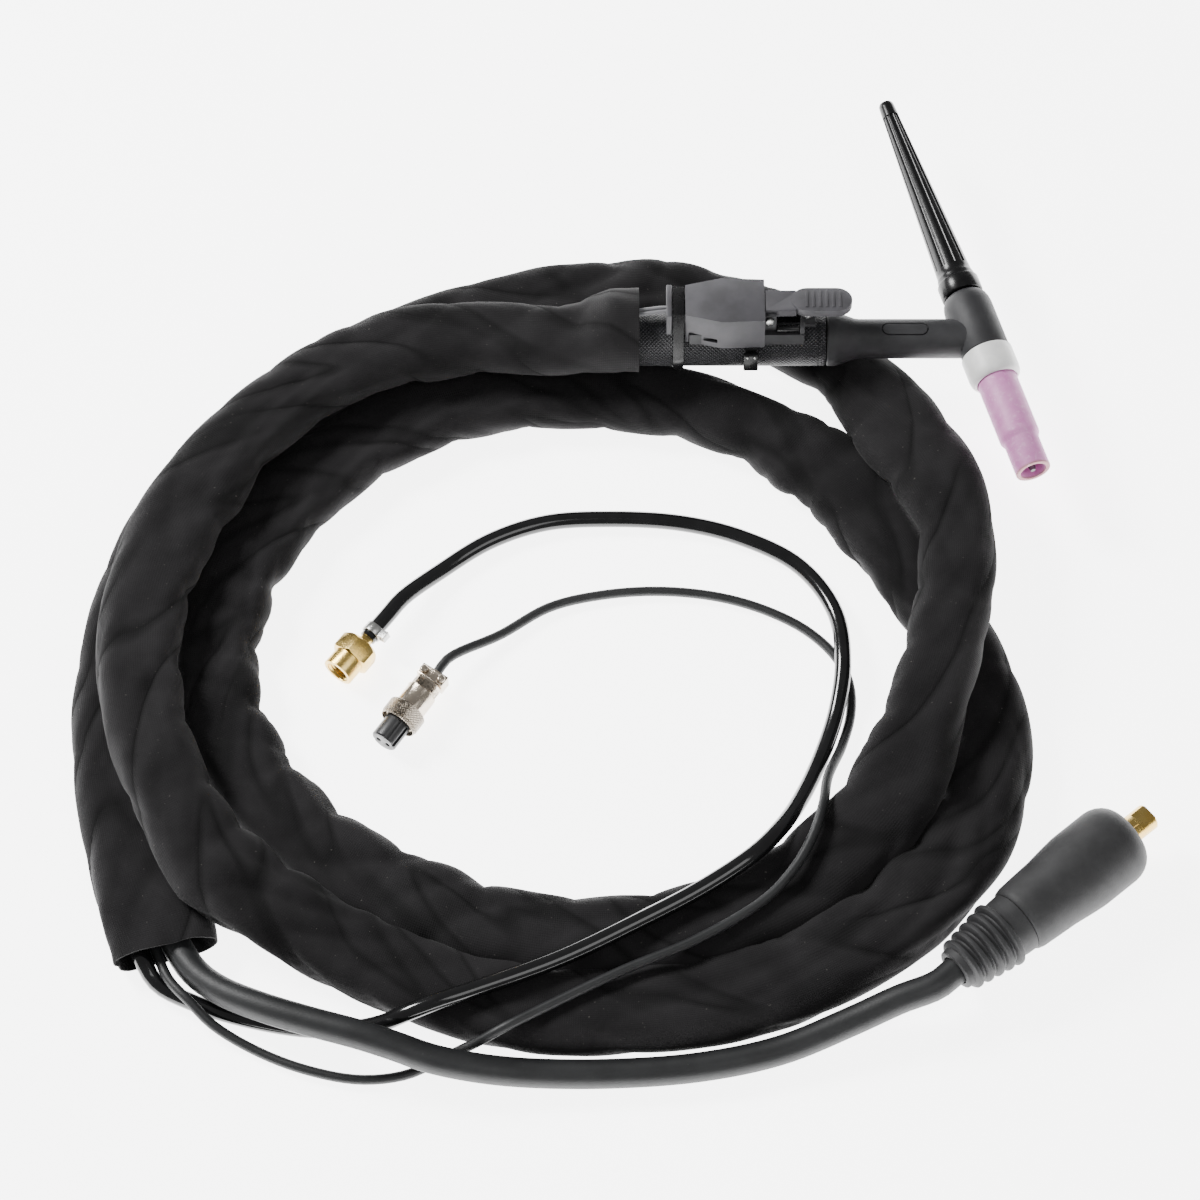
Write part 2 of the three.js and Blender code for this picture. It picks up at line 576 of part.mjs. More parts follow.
function powerJoint() {
  const rear = JOINT_FRONT - JOINT_BODY;
  const socketWall = 0.9;
  const body = rodX(HANDLE_BORE - 2 * GAP, rear, JOINT_FRONT);
  const wireSpigot = rodX(CORE_WIRE_RADIUS + GAP + socketWall, rear - SPIGOT_LENGTH, rear + 1, FINE);
  wireSpigot.translate(0, JOINT_POWER_SIDE, 0);
  const hoseBarb = rodX(HOSE_BORE - GAP, rear - SPIGOT_LENGTH, rear + 1, FINE);
  hoseBarb.translate(0, JOINT_HOSE_SIDE, 0);
  const tubeSocket = rodX(NECK_TUBE_RADIUS + GAP, JOINT_FRONT - JOINT_SOCKET - GAP,
    JOINT_FRONT + OVERSHOOT, FINE);
  const gasWay = rodX(1.6, rear + 6, JOINT_FRONT - JOINT_SOCKET, 12);
  gasWay.translate(0, JOINT_HOSE_SIDE - 2, 0);
  const barbBore = rodX(1.1, rear - SPIGOT_LENGTH - OVERSHOOT, rear + 7, 12);
  barbBore.translate(0, JOINT_HOSE_SIDE, 0);
  const wireSocket = rodX(CORE_WIRE_RADIUS + GAP, rear - SPIGOT_LENGTH - OVERSHOOT, rear, FINE);
  wireSocket.translate(0, JOINT_POWER_SIDE, 0);
  const shape = join(body, wireSpigot, hoseBarb);
  return piece('power_joint', cut(shape, tubeSocket, gasWay, barbBore, wireSocket), 'brass');
}

// ---------------------------------------------------------------- switch module

const BLOCK_START = END_PLATE_START + END_PLATE_THICKNESS + GAP;
const COVER_START = BLOCK_START + STRAP_WIDTH + 3 * GAP;
const COVER_END = COVER_START + COVER_LENGTH;
const PIN_X = COVER_END + PIN_FROM_COVER;
const PLUNGER_X = PIN_X + PLUNGER_FROM_PIN;
const SPRING_X = PLUNGER_X + 8;
const BASE_START = COVER_START + 1.8;
const BAR_REACH = 15.4; // from the pivot to the end of the bar's post
const BAR_RADIUS = 1.5;
const BAR_SIDE = 8.4;
const BAR_HEIGHT = BASE_TOP + GAP + BAR_RADIUS;
const PAD_START = PIN_X + 9.6;
const EAR_INSIDE = ARM_HALF_WIDTH + GAP;
const MICRO_START = PIN_X - 9.5;
const MICRO_END = PLUNGER_X + 4.7;
const MICRO_LOW_TOP = PIN_HEIGHT - 3;
const MICRO_TOP = PIN_HEIGHT - 1.4;
const BOSS_RADIUS = PIN_RADIUS + 1.4;
const LEAD_HEIGHT = PIN_HEIGHT - 1.2;
const SADDLE_RADIUS = HANDLE_RADIUS + GAP;
const FRONT_STRAP_X = COVER_END - 8.6;
const FRONT_STRAP_WIDTH = 5.6;

function switchBase() {
  const sole = HANDLE_RADIUS - 4.5;
  const saddle = block(BASE_START, PIN_X + BAR_REACH, -BASE_HALF_WIDTH, BASE_HALF_WIDTH, sole,
    BASE_TOP);
  const springSeat = block(PIN_X, SPRING_X + 3.5, -4, 4, sole, BASE_TOP);
  const barPost = block(PIN_X + BAR_REACH - 2, PIN_X + BAR_REACH, -BAR_SIDE - 1.8, -BAR_SIDE + 1.8,
    BASE_TOP - OVERSHOOT, BAR_HEIGHT + BAR_RADIUS + 0.4);
  const rearBlock = block(BLOCK_START, COVER_START + 2.4, -7, 7, sole, COVER_TOP - 2);
  const earReach = 3.1;
  const ears = [1, -1].map((side) => {
    const inner = side * EAR_INSIDE;
    const outer = side * (EAR_INSIDE + EAR_THICKNESS);
    return block(PIN_X - earReach, PIN_X + earReach, Math.min(inner, outer),
      Math.max(inner, outer), BASE_TOP - OVERSHOOT, PIN_HEIGHT + BOSS_RADIUS);
  });
  const handleRoom = rodX(SADDLE_RADIUS, END_PLATE_START, HANDLE_LENGTH);
  const pinHole = rodY(PIN_RADIUS + GAP, -BASE_HALF_WIDTH, BASE_HALF_WIDTH);
  pinHole.translate(PIN_X, 0, PIN_HEIGHT);
  const leadWay = block(BLOCK_START - OVERSHOOT, COVER_START + 3, -3, 3, LEAD_HEIGHT - 2.4,
    LEAD_HEIGHT + 1.8);
  const shape = join(saddle, springSeat, barPost, rearBlock, ...ears);
  return piece('switch_base', cut(shape, handleRoom, pinHole, leadWay), 'switchPlastic');
}

// Half outline of the cover seen from above, from the cable end to the lever end.
function coverOutline(inset) {
  const rearHalf = 9 - inset;
  const midHalf = COVER_HALF_WIDTH - inset;
  const frontHalf = COVER_HALF_WIDTH - 0.8 - inset;
  const wide = COVER_START + 16;
  return new THREE.Shape([
    [COVER_START + inset, -rearHalf], [wide, -midHalf], [COVER_END - inset, -frontHalf],
    [COVER_END - inset, frontHalf], [wide, midHalf], [COVER_START + inset, rearHalf],
  ].map(([x, y]) => new THREE.Vector2(x, y)));
}

function switchCover() {
  const shell = prism(coverOutline(0), COVER_TOP - COVER_SKIRT);
  shell.translate(0, 0, COVER_SKIRT);
  const inside = prism(coverOutline(COVER_WALL), COVER_TOP - COVER_WALL - COVER_SKIRT + OVERSHOOT);
  inside.translate(0, 0, COVER_SKIRT - OVERSHOOT);
  const mouth = block(COVER_END - 2 * COVER_WALL, COVER_END + OVERSHOOT, -9, 9,
    COVER_SKIRT - OVERSHOOT, COVER_TOP - COVER_WALL);
  const rear = block(COVER_START - OVERSHOOT, COVER_START + 3.4, -7 - GAP, 7 + GAP,
    COVER_SKIRT - OVERSHOOT, COVER_TOP - 2 + GAP);
  const slots = [-1, 1].map((side) => {
    const y = side * COVER_HALF_WIDTH;
    return block(COVER_START + 8, COVER_START + 14, y - 3.4, y + 3.4, COVER_SKIRT + 2.8,
      COVER_SKIRT + 5);
  });
  const handleRoom = rodX(SADDLE_RADIUS, END_PLATE_START, HANDLE_LENGTH);
  const baseRoom = block(BASE_START - GAP, COVER_END + OVERSHOOT, -BASE_HALF_WIDTH - GAP,
    BASE_HALF_WIDTH + GAP, 0, BASE_TOP + GAP);
  return piece('switch_cover', cut(shell, inside, mouth, rear, handleRoom, baseRoom, ...slots),
    'switchPlastic');
}

function switchEndPlate() {
  const plate = block(END_PLATE_START, END_PLATE_START + END_PLATE_THICKNESS, -9.5, 9.5,
    SADDLE_RADIUS + GAP, COVER_TOP - 0.2);
  const hole = rodX(2.9, END_PLATE_START - OVERSHOOT, BLOCK_START + OVERSHOOT, FINE);
  hole.translate(0, 0, LEAD_HEIGHT - 0.3);
  return piece('switch_end_plate', cut(plate, hole), 'switchPlastic');
}

function switchLever() {
  const tail = PIN_X - 5.5;
  const armStart = COVER_END + GAP + 0.1;
  const arm = plateXZ([
    [tail, ARM_UNDERSIDE - 0.6], [PAD_START + 2, ARM_UNDERSIDE], [PAD_START + 2, ARM_TOP],
    [armStart, ARM_TOP], [armStart, COVER_TOP - COVER_WALL - 2 * GAP],
    [tail, COVER_TOP - COVER_WALL - 2 * GAP],
  ], -ARM_HALF_WIDTH, ARM_HALF_WIDTH);
  const boss = rodY(BOSS_RADIUS, -ARM_HALF_WIDTH, ARM_HALF_WIDTH);
  boss.translate(PIN_X, 0, PIN_HEIGHT);
  const pad = prism(slotShape(PAD_LENGTH, 2 * PAD_HALF_WIDTH), PAD_TOP - PAD_UNDERSIDE);
  pad.translate(PAD_START + PAD_LENGTH / 2, 0, PAD_UNDERSIDE);
  const ribs = [];
  for (let i = 0; i < 6; i += 1) {
    const x = PAD_START + 6 + i * 2.9;
    ribs.push(block(x, x + 1.2, -PAD_HALF_WIDTH + 2.2, PAD_HALF_WIDTH - 2.2, PAD_TOP - 0.5,
      PAD_TOP + 0.35));
  }
  const pinHole = rodY(PIN_RADIUS + GAP, -PAD_HALF_WIDTH, PAD_HALF_WIDTH);
  pinHole.translate(PIN_X, 0, PIN_HEIGHT);
  return piece('switch_lever', cut(join(arm, boss, pad, ...ribs), pinHole), 'switchPlastic');
}

function leverStopBar() {
  const bar = rodX(BAR_RADIUS, PIN_X + 3.1 + GAP, PIN_X + BAR_REACH - 2 - GAP, FINE);
  return piece('lever_stop_bar', bar.translate(0, -BAR_SIDE, BAR_HEIGHT), 'steel');
}

function leverPivotPin() {
  const end = EAR_INSIDE + EAR_THICKNESS + 0.6;
  const pin = turned([
    [0, -end], [PIN_RADIUS, -end], [PIN_RADIUS, end], [PIN_RADIUS + 0.8, end],
    [PIN_RADIUS + 0.5, end + 0.8], [0, end + 0.8],
  ], FINE);
  pin.rotateX(Math.PI / 2).translate(PIN_X, 0, PIN_HEIGHT);
  return piece('lever_pivot_pin', pin, 'steel');
}

function microSwitchBody() {
  const halfWidth = 3.2;
  const bottom = BASE_TOP + GAP;
  const body = plateXZ([
    [MICRO_START, bottom], [MICRO_END, bottom], [MICRO_END, MICRO_TOP],
    [PIN_X + 4, MICRO_TOP], [PIN_X + 4, MICRO_LOW_TOP], [MICRO_START, MICRO_LOW_TOP],
  ], -halfWidth, halfWidth);
  const well = rod(PLUNGER_RADIUS + GAP, bottom + 0.9, MICRO_TOP + OVERSHOOT, 12);
  well.translate(PLUNGER_X, 0, 0);
  return piece('micro_switch_body', cut(body, well), 'capPlastic');
}

function microSwitchPlunger() {
  const plunger = rod(PLUNGER_RADIUS, BASE_TOP + 2.2, ARM_UNDERSIDE - GAP - 0.1, 12);
  plunger.translate(PLUNGER_X, 0, 0);
  return piece('micro_switch_plunger', plunger, 'leadVinyl');
}

function leverReturnSpring() {
  const bottom = BASE_TOP + GAP + SPRING_WIRE;
  const top = PAD_UNDERSIDE - GAP - SPRING_WIRE;
  const perTurn = 10;
  const points = Array.from({ length: SPRING_TURNS * perTurn + 1 }, (_, i) => {
    const angle = (i * 2 * Math.PI) / perTurn;
    const height = bottom + ((top - bottom) * i) / (SPRING_TURNS * perTurn);
    return new THREE.Vector3(SPRING_X + SPRING_RADIUS * Math.cos(angle),
      SPRING_RADIUS * Math.sin(angle), height);
  });
  return piece('lever_return_spring', swept(circle(SPRING_WIRE), points, 6), 'steel');
}

// A band round the handle that rises to go over the switch block.
function rearStrap() {
  const outline = (Outline, radius, half, top) => {
    const leave = Math.atan2(top, half) - Math.acos(radius / Math.hypot(half, top));
    const loop = new Outline();
    loop.absarc(0, 0, radius, Math.PI - leave, leave, false);
    loop.lineTo(half, top);
    loop.lineTo(-half, top);
    loop.closePath();
    return loop;
  };
  const inner = SADDLE_RADIUS;
  const top = COVER_TOP - 2 + GAP;
  const half = 7 + GAP;
  const band = outline(THREE.Shape, inner + STRAP_THICKNESS, half + STRAP_THICKNESS,
    top + STRAP_THICKNESS);
  band.holes.push(outline(THREE.Path, inner, half, top));
  const strap = prism(band, STRAP_WIDTH, 10).rotateX(Math.PI / 2).rotateZ(Math.PI / 2);
  strap.translate(BLOCK_START + GAP, 0, 0);
  return piece('rear_strap', strap, 'capPlastic');
}

const FRONT_STRAP_TOP = THREE.MathUtils.degToRad(30); // how far up each side the band reaches

function frontStrap() {
  const band = new THREE.Shape();
  const from = Math.PI - FRONT_STRAP_TOP;
  const to = FRONT_STRAP_TOP;
  band.absarc(0, 0, SADDLE_RADIUS + STRAP_THICKNESS, from, to, false);
  band.absarc(0, 0, SADDLE_RADIUS, to, from, true);
  const strap = prism(band, FRONT_STRAP_WIDTH, 10).rotateX(Math.PI / 2).rotateZ(Math.PI / 2);
  strap.translate(FRONT_STRAP_X, 0, 0);
  return piece('front_strap', strap, 'capPlastic');
}

function frontStrapClasp() {
  const inner = SADDLE_RADIUS + STRAP_THICKNESS + GAP;
  const clasp = block(FRONT_STRAP_X - 0.4, FRONT_STRAP_X + FRONT_STRAP_WIDTH + 0.4,
    -inner - 2.4, -inner, -3.5, 6);
  return piece('front_strap_clasp', clasp, 'capPlastic');
}

function switchGroup() {
  const group = new THREE.Group();
  group.rotation.x = -SWITCH_TILT;
  group.add(switchBase(), switchCover(), switchEndPlate(), switchLever(), leverPivotPin(),
    leverStopBar(), microSwitchBody(), microSwitchPlunger(), leverReturnSpring(), rearStrap(),
    frontStrap(), frontStrapClasp());
  return group;
}

// One wire of the pair, from the control cable's end to the snap switch, side is -1 or 1.
function switchLead(name, side) {
  const spread = side * (LEAD_RADIUS + 0.2);
  const route = [
    [-31, 2.1 + spread, 0], [-20, 2.2 + spread, 4], [-12, 2.3 + spread, 6.7],
    [-6, 2.6 + spread, HANDLE_RADIUS - 0.9], [1, 3 + spread, HANDLE_RADIUS + 2.5],
    [12, 3.4 + spread, HANDLE_RADIUS + 4.5],
  ].map(([x, y, z]) => new THREE.Vector3(x, y, z));
  const inModule = [
    [END_PLATE_START - 2, LEAD_HEIGHT - 0.4], [END_PLATE_START + 4, LEAD_HEIGHT - 0.2],
    [COVER_START + 4, LEAD_HEIGHT - 0.3], [COVER_START + 12, LEAD_HEIGHT - 1.4],
    [MICRO_START - 5, BASE_TOP + 1.6], [MICRO_START - GAP, BASE_TOP + 1.4],
  ].map(([x, z]) => new THREE.Vector3(x, spread, z).applyAxisAngle(
    new THREE.Vector3(1, 0, 0), -SWITCH_TILT));
  const wire = swept(circle(LEAD_RADIUS), [...route, ...inModule], 8);
  return piece(name, wire, 'leadVinyl');
}

function torchGroup() {
  return groupOf(TORCH_PLACE, 0, [
    headBody(), headGroup(), neckTube(), powerJoint(), handleTube(), handleRearBush(),
    switchGroup(), switchLead('switch_lead_inner', -1), switchLead('switch_lead_outer', 1),
  ]);
}

// ---------------------------------------------------------------- cables and cover

// Sleeve route points moved sideways, positive towards the coil's outside.
function laneRoute(lane, first) {
  const points = vectors(SLEEVE_ROUTE);
  const middle = new LaidCurve(points);
  return points.map((point, i) => {
    const { binormal } = middle.frameAt(i / (points.length - 1));
    return point.clone().addScaledVector(binormal, lane);
  }).slice(first);
}

function powerCable() {
  const start = TORCH_PLACE.clone().add(new THREE.Vector3(-28, -7.3, 0));
  const end = pointsBehind(PLUG_PLACE, PLUG_YAW,
    [PLUG_LENGTH + 10, PLUG_LENGTH, PLUG_LENGTH - 20, POWER_END]);
  const points = [start, ...laneRoute(POWER_LANE, 2), ...vectors(POWER_ROUTE), ...end];
  return piece('power_cable', swept(circle(POWER_RADIUS), points, 8), 'cableRubber');
}

function powerCableCore() {
  const rear = JOINT_FRONT - JOINT_BODY;
  const wire = rodX(CORE_WIRE_RADIUS, -26, rear - GAP, 12);
  wire.translate(TORCH_PLACE.x, TORCH_PLACE.y + JOINT_POWER_SIDE, TORCH_PLACE.z);
  return piece('power_cable_core', wire, 'copper');
}

function gasHose() {
  const barbRoot = JOINT_FRONT - JOINT_BODY - GAP;
  const hoseStart = [barbRoot, barbRoot - 14, 0].map((x) => TORCH_PLACE.clone().add(
    new THREE.Vector3(x, JOINT_HOSE_SIDE, 0)));
  const fittingStart = NUT_NOSE_LENGTH + NUT_HEX_LENGTH + NIPPLE_SHOWING;
  const end = pointsBehind(GAS_PLACE, GAS_YAW, [fittingStart + 24, fittingStart + 14, fittingStart]);
  const points = [...hoseStart, ...laneRoute(HOSE_LANE, 2), ...vectors(HOSE_ROUTE), ...end];
  const jacket = swept(circle(HOSE_RADIUS), points, 8);
  const barbBore = rodX(HOSE_BORE, barbRoot - SPIGOT_LENGTH - 1, barbRoot + OVERSHOOT, FINE);
  barbBore.translate(TORCH_PLACE.x, TORCH_PLACE.y + JOINT_HOSE_SIDE, TORCH_PLACE.z);
  const nippleBore = rodX(HOSE_BORE, -fittingStart - BARB_LENGTH - 1, -fittingStart + OVERSHOOT,
    FINE);
  nippleBore.rotateZ(GAS_YAW).translate(...GAS_PLACE.toArray());
  return piece('gas_hose', cut(jacket, barbBore, nippleBore), 'hoseVinyl');
}

function controlCable() {
  const start = TORCH_PLACE.clone().add(new THREE.Vector3(-32, 2, 0));
  const end = pointsBehind(CONTROL_PLACE, CONTROL_YAW,
    [CONTROL_LENGTH + 9, CONTROL_LENGTH, CONTROL_LENGTH - 8]);
  const points = [start, ...laneRoute(CONTROL_LANE, 2), ...vectors(CONTROL_ROUTE), ...end];
  return piece('control_cable', swept(circle(CONTROL_RADIUS), points, 8), 'cableRubber');
}

function sleeveSection(inset) {
  const outline = slotShape(SLEEVE_WIDTH - 2 * inset, SLEEVE_HEIGHT - 2 * inset);
  return outline.getPoints(2).map((point) => new THREE.Vector2(-point.y, point.x));
}

function ellipse(halfWidth, halfHeight) {
  const shape = new THREE.Shape();
  shape.absellipse(0, 0, halfWidth, halfHeight, 0, 2 * Math.PI, false, 0);
  return shape;
}

// A prism along X of a section drawn across (Y) and up (Z).
function prismX(shape, from, to, facets = 6) {
  return prism(shape, to - from, facets).rotateX(Math.PI / 2).rotateZ(Math.PI / 2)
    .translate(from, 0, 0);
}

function cableSleeve() {
  const section = new THREE.Shape(sleeveSection(0));
  section.holes.push(new THREE.Path(sleeveSection(SLEEVE_WALL)));
  const cover = swept(section, vectors(SLEEVE_ROUTE), 2);
  const wall = SLEEVE_WALL + 0.3;
  const from = TORCH_PLACE.x - CUFF_BEHIND;
  const to = TORCH_PLACE.x + CUFF_OVERLAP;
  const place = [0, TORCH_PLACE.y + CUFF_SHIFT.x, TORCH_PLACE.z + CUFF_SHIFT.y];
  const cuff = prismX(ellipse(CUFF_HALF_WIDTH, CUFF_HALF_HEIGHT), from, to, 10).translate(...place);
  const room = prismX(ellipse(CUFF_HALF_WIDTH - wall, CUFF_HALF_HEIGHT - wall), from + wall,
    to + OVERSHOOT, 10).translate(...place);
  const waySection = slotShape(SLEEVE_WIDTH - 2 * SLEEVE_WALL, SLEEVE_HEIGHT - 2 * SLEEVE_WALL);
  const way = prismX(waySection, from - OVERSHOOT, from + 2 * wall, 4)
    .translate(0, SLEEVE_ROUTE[0][1], SLEEVE_ROUTE[0][2]);
  return piece('cable_sleeve', join(cut(cuff, room, way), cover), 'canvas');
}

// ---------------------------------------------------------------- power plug

const BOOT_END = -PLUG_LENGTH + BOOT_LENGTH;
const STEM_START = -4 - PIN_STEM_LENGTH;
const POWER_END = -STEM_START + 6;

function plugBoot() {
  const bore = POWER_RADIUS + GAP + 0.2;
  const ribPitch = 5;
  const entry = 9.4;
  const exit = 13.4;
  const start = -PLUG_LENGTH;
  const profile = [[bore, start], [entry - 0.8, start], [entry, start + 1]];
  for (let i = 0; i < BOOT_RIBS; i += 1) {
    const x = start + 3 + i * ribPitch;
    const root = entry + ((exit - entry) * i) / BOOT_RIBS;
    profile.push([root, x], [root + 2.4, x + 0.8], [root + 2.4, x + 2.8], [root + 0.6, x + 3.6]);
  }
  profile.push([exit, BOOT_END], [bore, BOOT_END], [bore, start]);
  return piece('plug_boot', turnedX(profile), 'rubber');
}

function plugHousing() {
  const start = BOOT_END + GAP;
  const bore = PIN_STEM_RADIUS + GAP;
  const pinWay = PIN_PLUG_RADIUS + GAP;
  const lip = 3;
  return piece('plug_housing', turnedX([
    [bore, start], [14, start], [15.2, start + 2], [16, start + 18],
    [PLUG_RADIUS, start + 32], [PLUG_RADIUS, -9], [PLUG_RADIUS - 1, -4.5],
    [PLUG_RADIUS - 4.2, -0.8], [PLUG_RADIUS - 5.5, 0], [pinWay, 0], [pinWay, -lip],
    [bore, -lip], [bore, start],
  ]), 'rubber');
}

function plugPin() {
  const tip = PIN_PLUG_LENGTH + GAP;
  const shape = turnedX([
    [0, STEM_START], [PIN_STEM_RADIUS, STEM_START], [PIN_STEM_RADIUS, -4],
    [PIN_PLUG_RADIUS, -4], [PIN_PLUG_RADIUS, tip - 0.6], [PIN_PLUG_RADIUS - 0.6, tip], [0, tip],
  ]);
  const socket = rodX(FERRULE_RADIUS + GAP, STEM_START - OVERSHOOT, STEM_START + 26, FINE);
  const flat = block(tip - 7.6, tip + OVERSHOOT, -9, 9, PIN_PLUG_RADIUS - 1.5, 9);
  const key = block(tip - 13, tip - 8.4, -1.6, 1.6, PIN_PLUG_RADIUS - 2, PIN_PLUG_RADIUS + 0.4);
  const screwHoles = SCREW_PLACES.map((x) => rod(GRUB_RADIUS + GAP, 0, PIN_STEM_RADIUS + 2, FINE)
    .translate(x, 0, 0));
  return piece('plug_pin', join(cut(shape, socket, flat, ...screwHoles), key), 'brass');
}

const FERRULE_RADIUS = 5.4;
const FERRULE_LENGTH = 22;
const GRUB_RADIUS = 2.2;
const SCREW_PLACES = [STEM_START + 7, STEM_START + 17];

function plugFerrule() {
  const ferrule = tubeX(FERRULE_RADIUS, 3.6, STEM_START + 0.8, STEM_START + FERRULE_LENGTH, FINE);
  return piece('plug_ferrule', ferrule, 'copper');
}

function plugClampScrew(name, x) {
  const bottom = FERRULE_RADIUS + GAP;
  const top = PIN_STEM_RADIUS - 0.4;
  const screw = rod(GRUB_RADIUS, bottom, top, 12);
  const hex = new THREE.CylinderGeometry(1, 1, 3, 6).rotateX(Math.PI / 2);
  hex.translate(0, 0, top + 0.3);
  return piece(name, cut(screw, hex).translate(x, 0, 0), 'steel');
}

function plugGroup() {
  return groupOf(PLUG_PLACE, PLUG_YAW, [
    plugBoot(), plugHousing(), plugPin(), plugFerrule(),
    plugClampScrew('plug_clamp_screw_rear', SCREW_PLACES[0]),
    plugClampScrew('plug_clamp_screw_front', SCREW_PLACES[1]),
  ]);
}

// ---------------------------------------------------------------- gas fitting

const NUT_REAR = -NUT_NOSE_LENGTH - NUT_HEX_LENGTH;
const NUT_SHOULDER = 2; // wall at the nut's rear that the nipple's flange seats on

function gasNut() {
  const corner = NUT_FLATS / 2 / Math.cos(Math.PI / 6);
  const hexagon = new THREE.Shape(Array.from({ length: 6 }, (_, i) => new THREE.Vector2(
    corner * Math.sin((i * Math.PI) / 3), corner * Math.cos((i * Math.PI) / 3))));
  const hex = prismX(hexagon, NUT_REAR, -NUT_NOSE_LENGTH);
  const chamfer = turnedX([
    [0, NUT_REAR], [corner - 1.6, NUT_REAR], [corner + 0.1, NUT_REAR + 1.6],
    [corner + 0.1, -NUT_NOSE_LENGTH - 0.6], [corner - 0.9, -NUT_NOSE_LENGTH],
    [0, -NUT_NOSE_LENGTH],
  ]);
  const body = fromSolid(toSolid(hex).intersect(toSolid(chamfer)));
  const nose = rodX(NUT_NOSE_RADIUS, -NUT_NOSE_LENGTH - 1, 0);
  const bore = rodX(NUT_BORE, NUT_REAR + NUT_SHOULDER, OVERSHOOT);
  const rear = rodX(NIPPLE_RADIUS + GAP, NUT_REAR - OVERSHOOT, 0, FINE);
  return piece('gas_nut', cut(join(body, nose), bore, rear), 'brass');
}

function gasNipple() {
  const flangeRear = NUT_REAR + NUT_SHOULDER + GAP;
  const hoseEnd = NUT_REAR - NIPPLE_SHOWING;
  const barb = HOSE_BORE - GAP;
  const bore = 1.3;
  const flange = NUT_BORE - GAP - 0.1;
  return piece('gas_nipple', turnedX([
    [bore, hoseEnd - BARB_LENGTH], [barb - 0.4, hoseEnd - BARB_LENGTH],
    [barb, hoseEnd - BARB_LENGTH + 1.5], [barb, hoseEnd + GAP], [NIPPLE_RADIUS, hoseEnd + GAP],
    [NIPPLE_RADIUS, flangeRear], [flange, flangeRear], [flange, flangeRear + 2],
    [bore + 1, flangeRear + 5], [bore, flangeRear + 5], [bore, hoseEnd - BARB_LENGTH],
  ], FINE), 'brass');
}

function hoseClamp() {
  const inner = HOSE_RADIUS + GAP;
  const outer = inner + 0.6;
  const end = NUT_REAR - NIPPLE_SHOWING - 2;
  const band = tubeX(outer, inner, end - CLAMP_WIDTH, end, FINE);
  const ear = block(end - CLAMP_WIDTH + 0.2, end - 0.2, outer - 0.4, outer + 3.2, -1.6, 1.6);
  const earRoom = block(end - CLAMP_WIDTH - 1, end + 1, outer + 0.4, outer + 2.5, -0.9, 0.9);
  const turnedEar = join(band, cut(ear, earRoom)).rotateX(THREE.MathUtils.degToRad(20));
  return piece('hose_clamp', turnedEar, 'steel');
}

function gasGroup() {
  return groupOf(GAS_PLACE, GAS_YAW, [gasNut(), gasNipple(), hoseClamp()]);
}

// ---------------------------------------------------------------- control plug

const COUPLING_FRONT = -INSERT_SHOWING;
const COUPLING_REAR = COUPLING_FRONT - COUPLING_LENGTH;
const SHELL_FRONT = COUPLING_FRONT - 1.6;
const SHELL_REAR = SHELL_FRONT - SHELL_LENGTH;
const SADDLE_REAR = SHELL_REAR - GAP - SADDLE_LENGTH;
const CONTROL_LENGTH = -SADDLE_REAR;
const INSERT_REAR = SHELL_FRONT - 8;
const CONTACT_SPREAD = 2.3;
const CONTACT_HOLE = 1.2;

function controlInsert() {
  const insert = turnedX([
    [0, INSERT_REAR], [INSERT_RADIUS, INSERT_REAR], [INSERT_RADIUS, -0.6],
    [INSERT_RADIUS - 0.6, 0], [0, 0],
  ]);
  const tools = [1, -1].map((side) => rodX(CONTACT_HOLE, INSERT_REAR - OVERSHOOT, OVERSHOOT, 12)
    .translate(0, side * CONTACT_SPREAD, 0));
  for (const angle of [0.4, 1.25, 3.6]) {
    const key = block(COUPLING_FRONT, OVERSHOOT, INSERT_RADIUS - 1, INSERT_RADIUS + 1, -0.9, 0.9);
    tools.push(key.rotateX(angle));
  }
  return piece('control_insert', cut(insert, ...tools), 'insertPlastic');
}

function controlContact(name, side) {
  const contact = tubeX(CONTACT_HOLE - GAP, 0.5, INSERT_REAR - 3, -1.2, 12);
  return piece(name, contact.translate(0, side * CONTACT_SPREAD, 0), 'brass');
}

function controlCouplingRing() {
  const lip = SHELL_RADIUS + GAP;
  const chamber = lip + 0.6;
  return piece('control_coupling_ring', turnedX([
    [lip, COUPLING_REAR], [COUPLING_RADIUS - 0.7, COUPLING_REAR],
    [COUPLING_RADIUS, COUPLING_REAR + 0.7], [COUPLING_RADIUS, COUPLING_FRONT - 1.4],
    [COUPLING_RADIUS - 0.5, COUPLING_FRONT], [chamber, COUPLING_FRONT],
    [chamber, COUPLING_REAR + 3], [lip, COUPLING_REAR + 3], [lip, COUPLING_REAR],
  ]), 'nickel');
}

function controlPlugShell() {
  const bore = INSERT_RADIUS + GAP;
  const rearHole = CONTROL_RADIUS + 2 * GAP;
  const rearWall = 1.6;
  const step = SHELL_REAR + 5;
  const barrel = turnedX([
    [rearHole, SHELL_REAR], [SHELL_RADIUS - 1.3, SHELL_REAR], [SHELL_RADIUS - 0.8, SHELL_REAR + 0.5],
    [SHELL_RADIUS - 0.8, step], [SHELL_RADIUS, step + 0.5], [SHELL_RADIUS, SHELL_FRONT],
    [bore, SHELL_FRONT], [bore, SHELL_REAR + rearWall], [rearHole, SHELL_REAR + rearWall],
    [rearHole, SHELL_REAR],
  ]);
  const flats = [0, 1, 2].map((i) => block(SHELL_REAR + 5.6, COUPLING_REAR - 1,
    -4, 4, SHELL_RADIUS - 0.45, SHELL_RADIUS + 1).rotateX(((i - 1) * Math.PI) / 2.6));
  return piece('control_plug_shell', cut(barrel, ...flats), 'nickel');
}

const SADDLE_SCREW_SPREAD = 4.4;

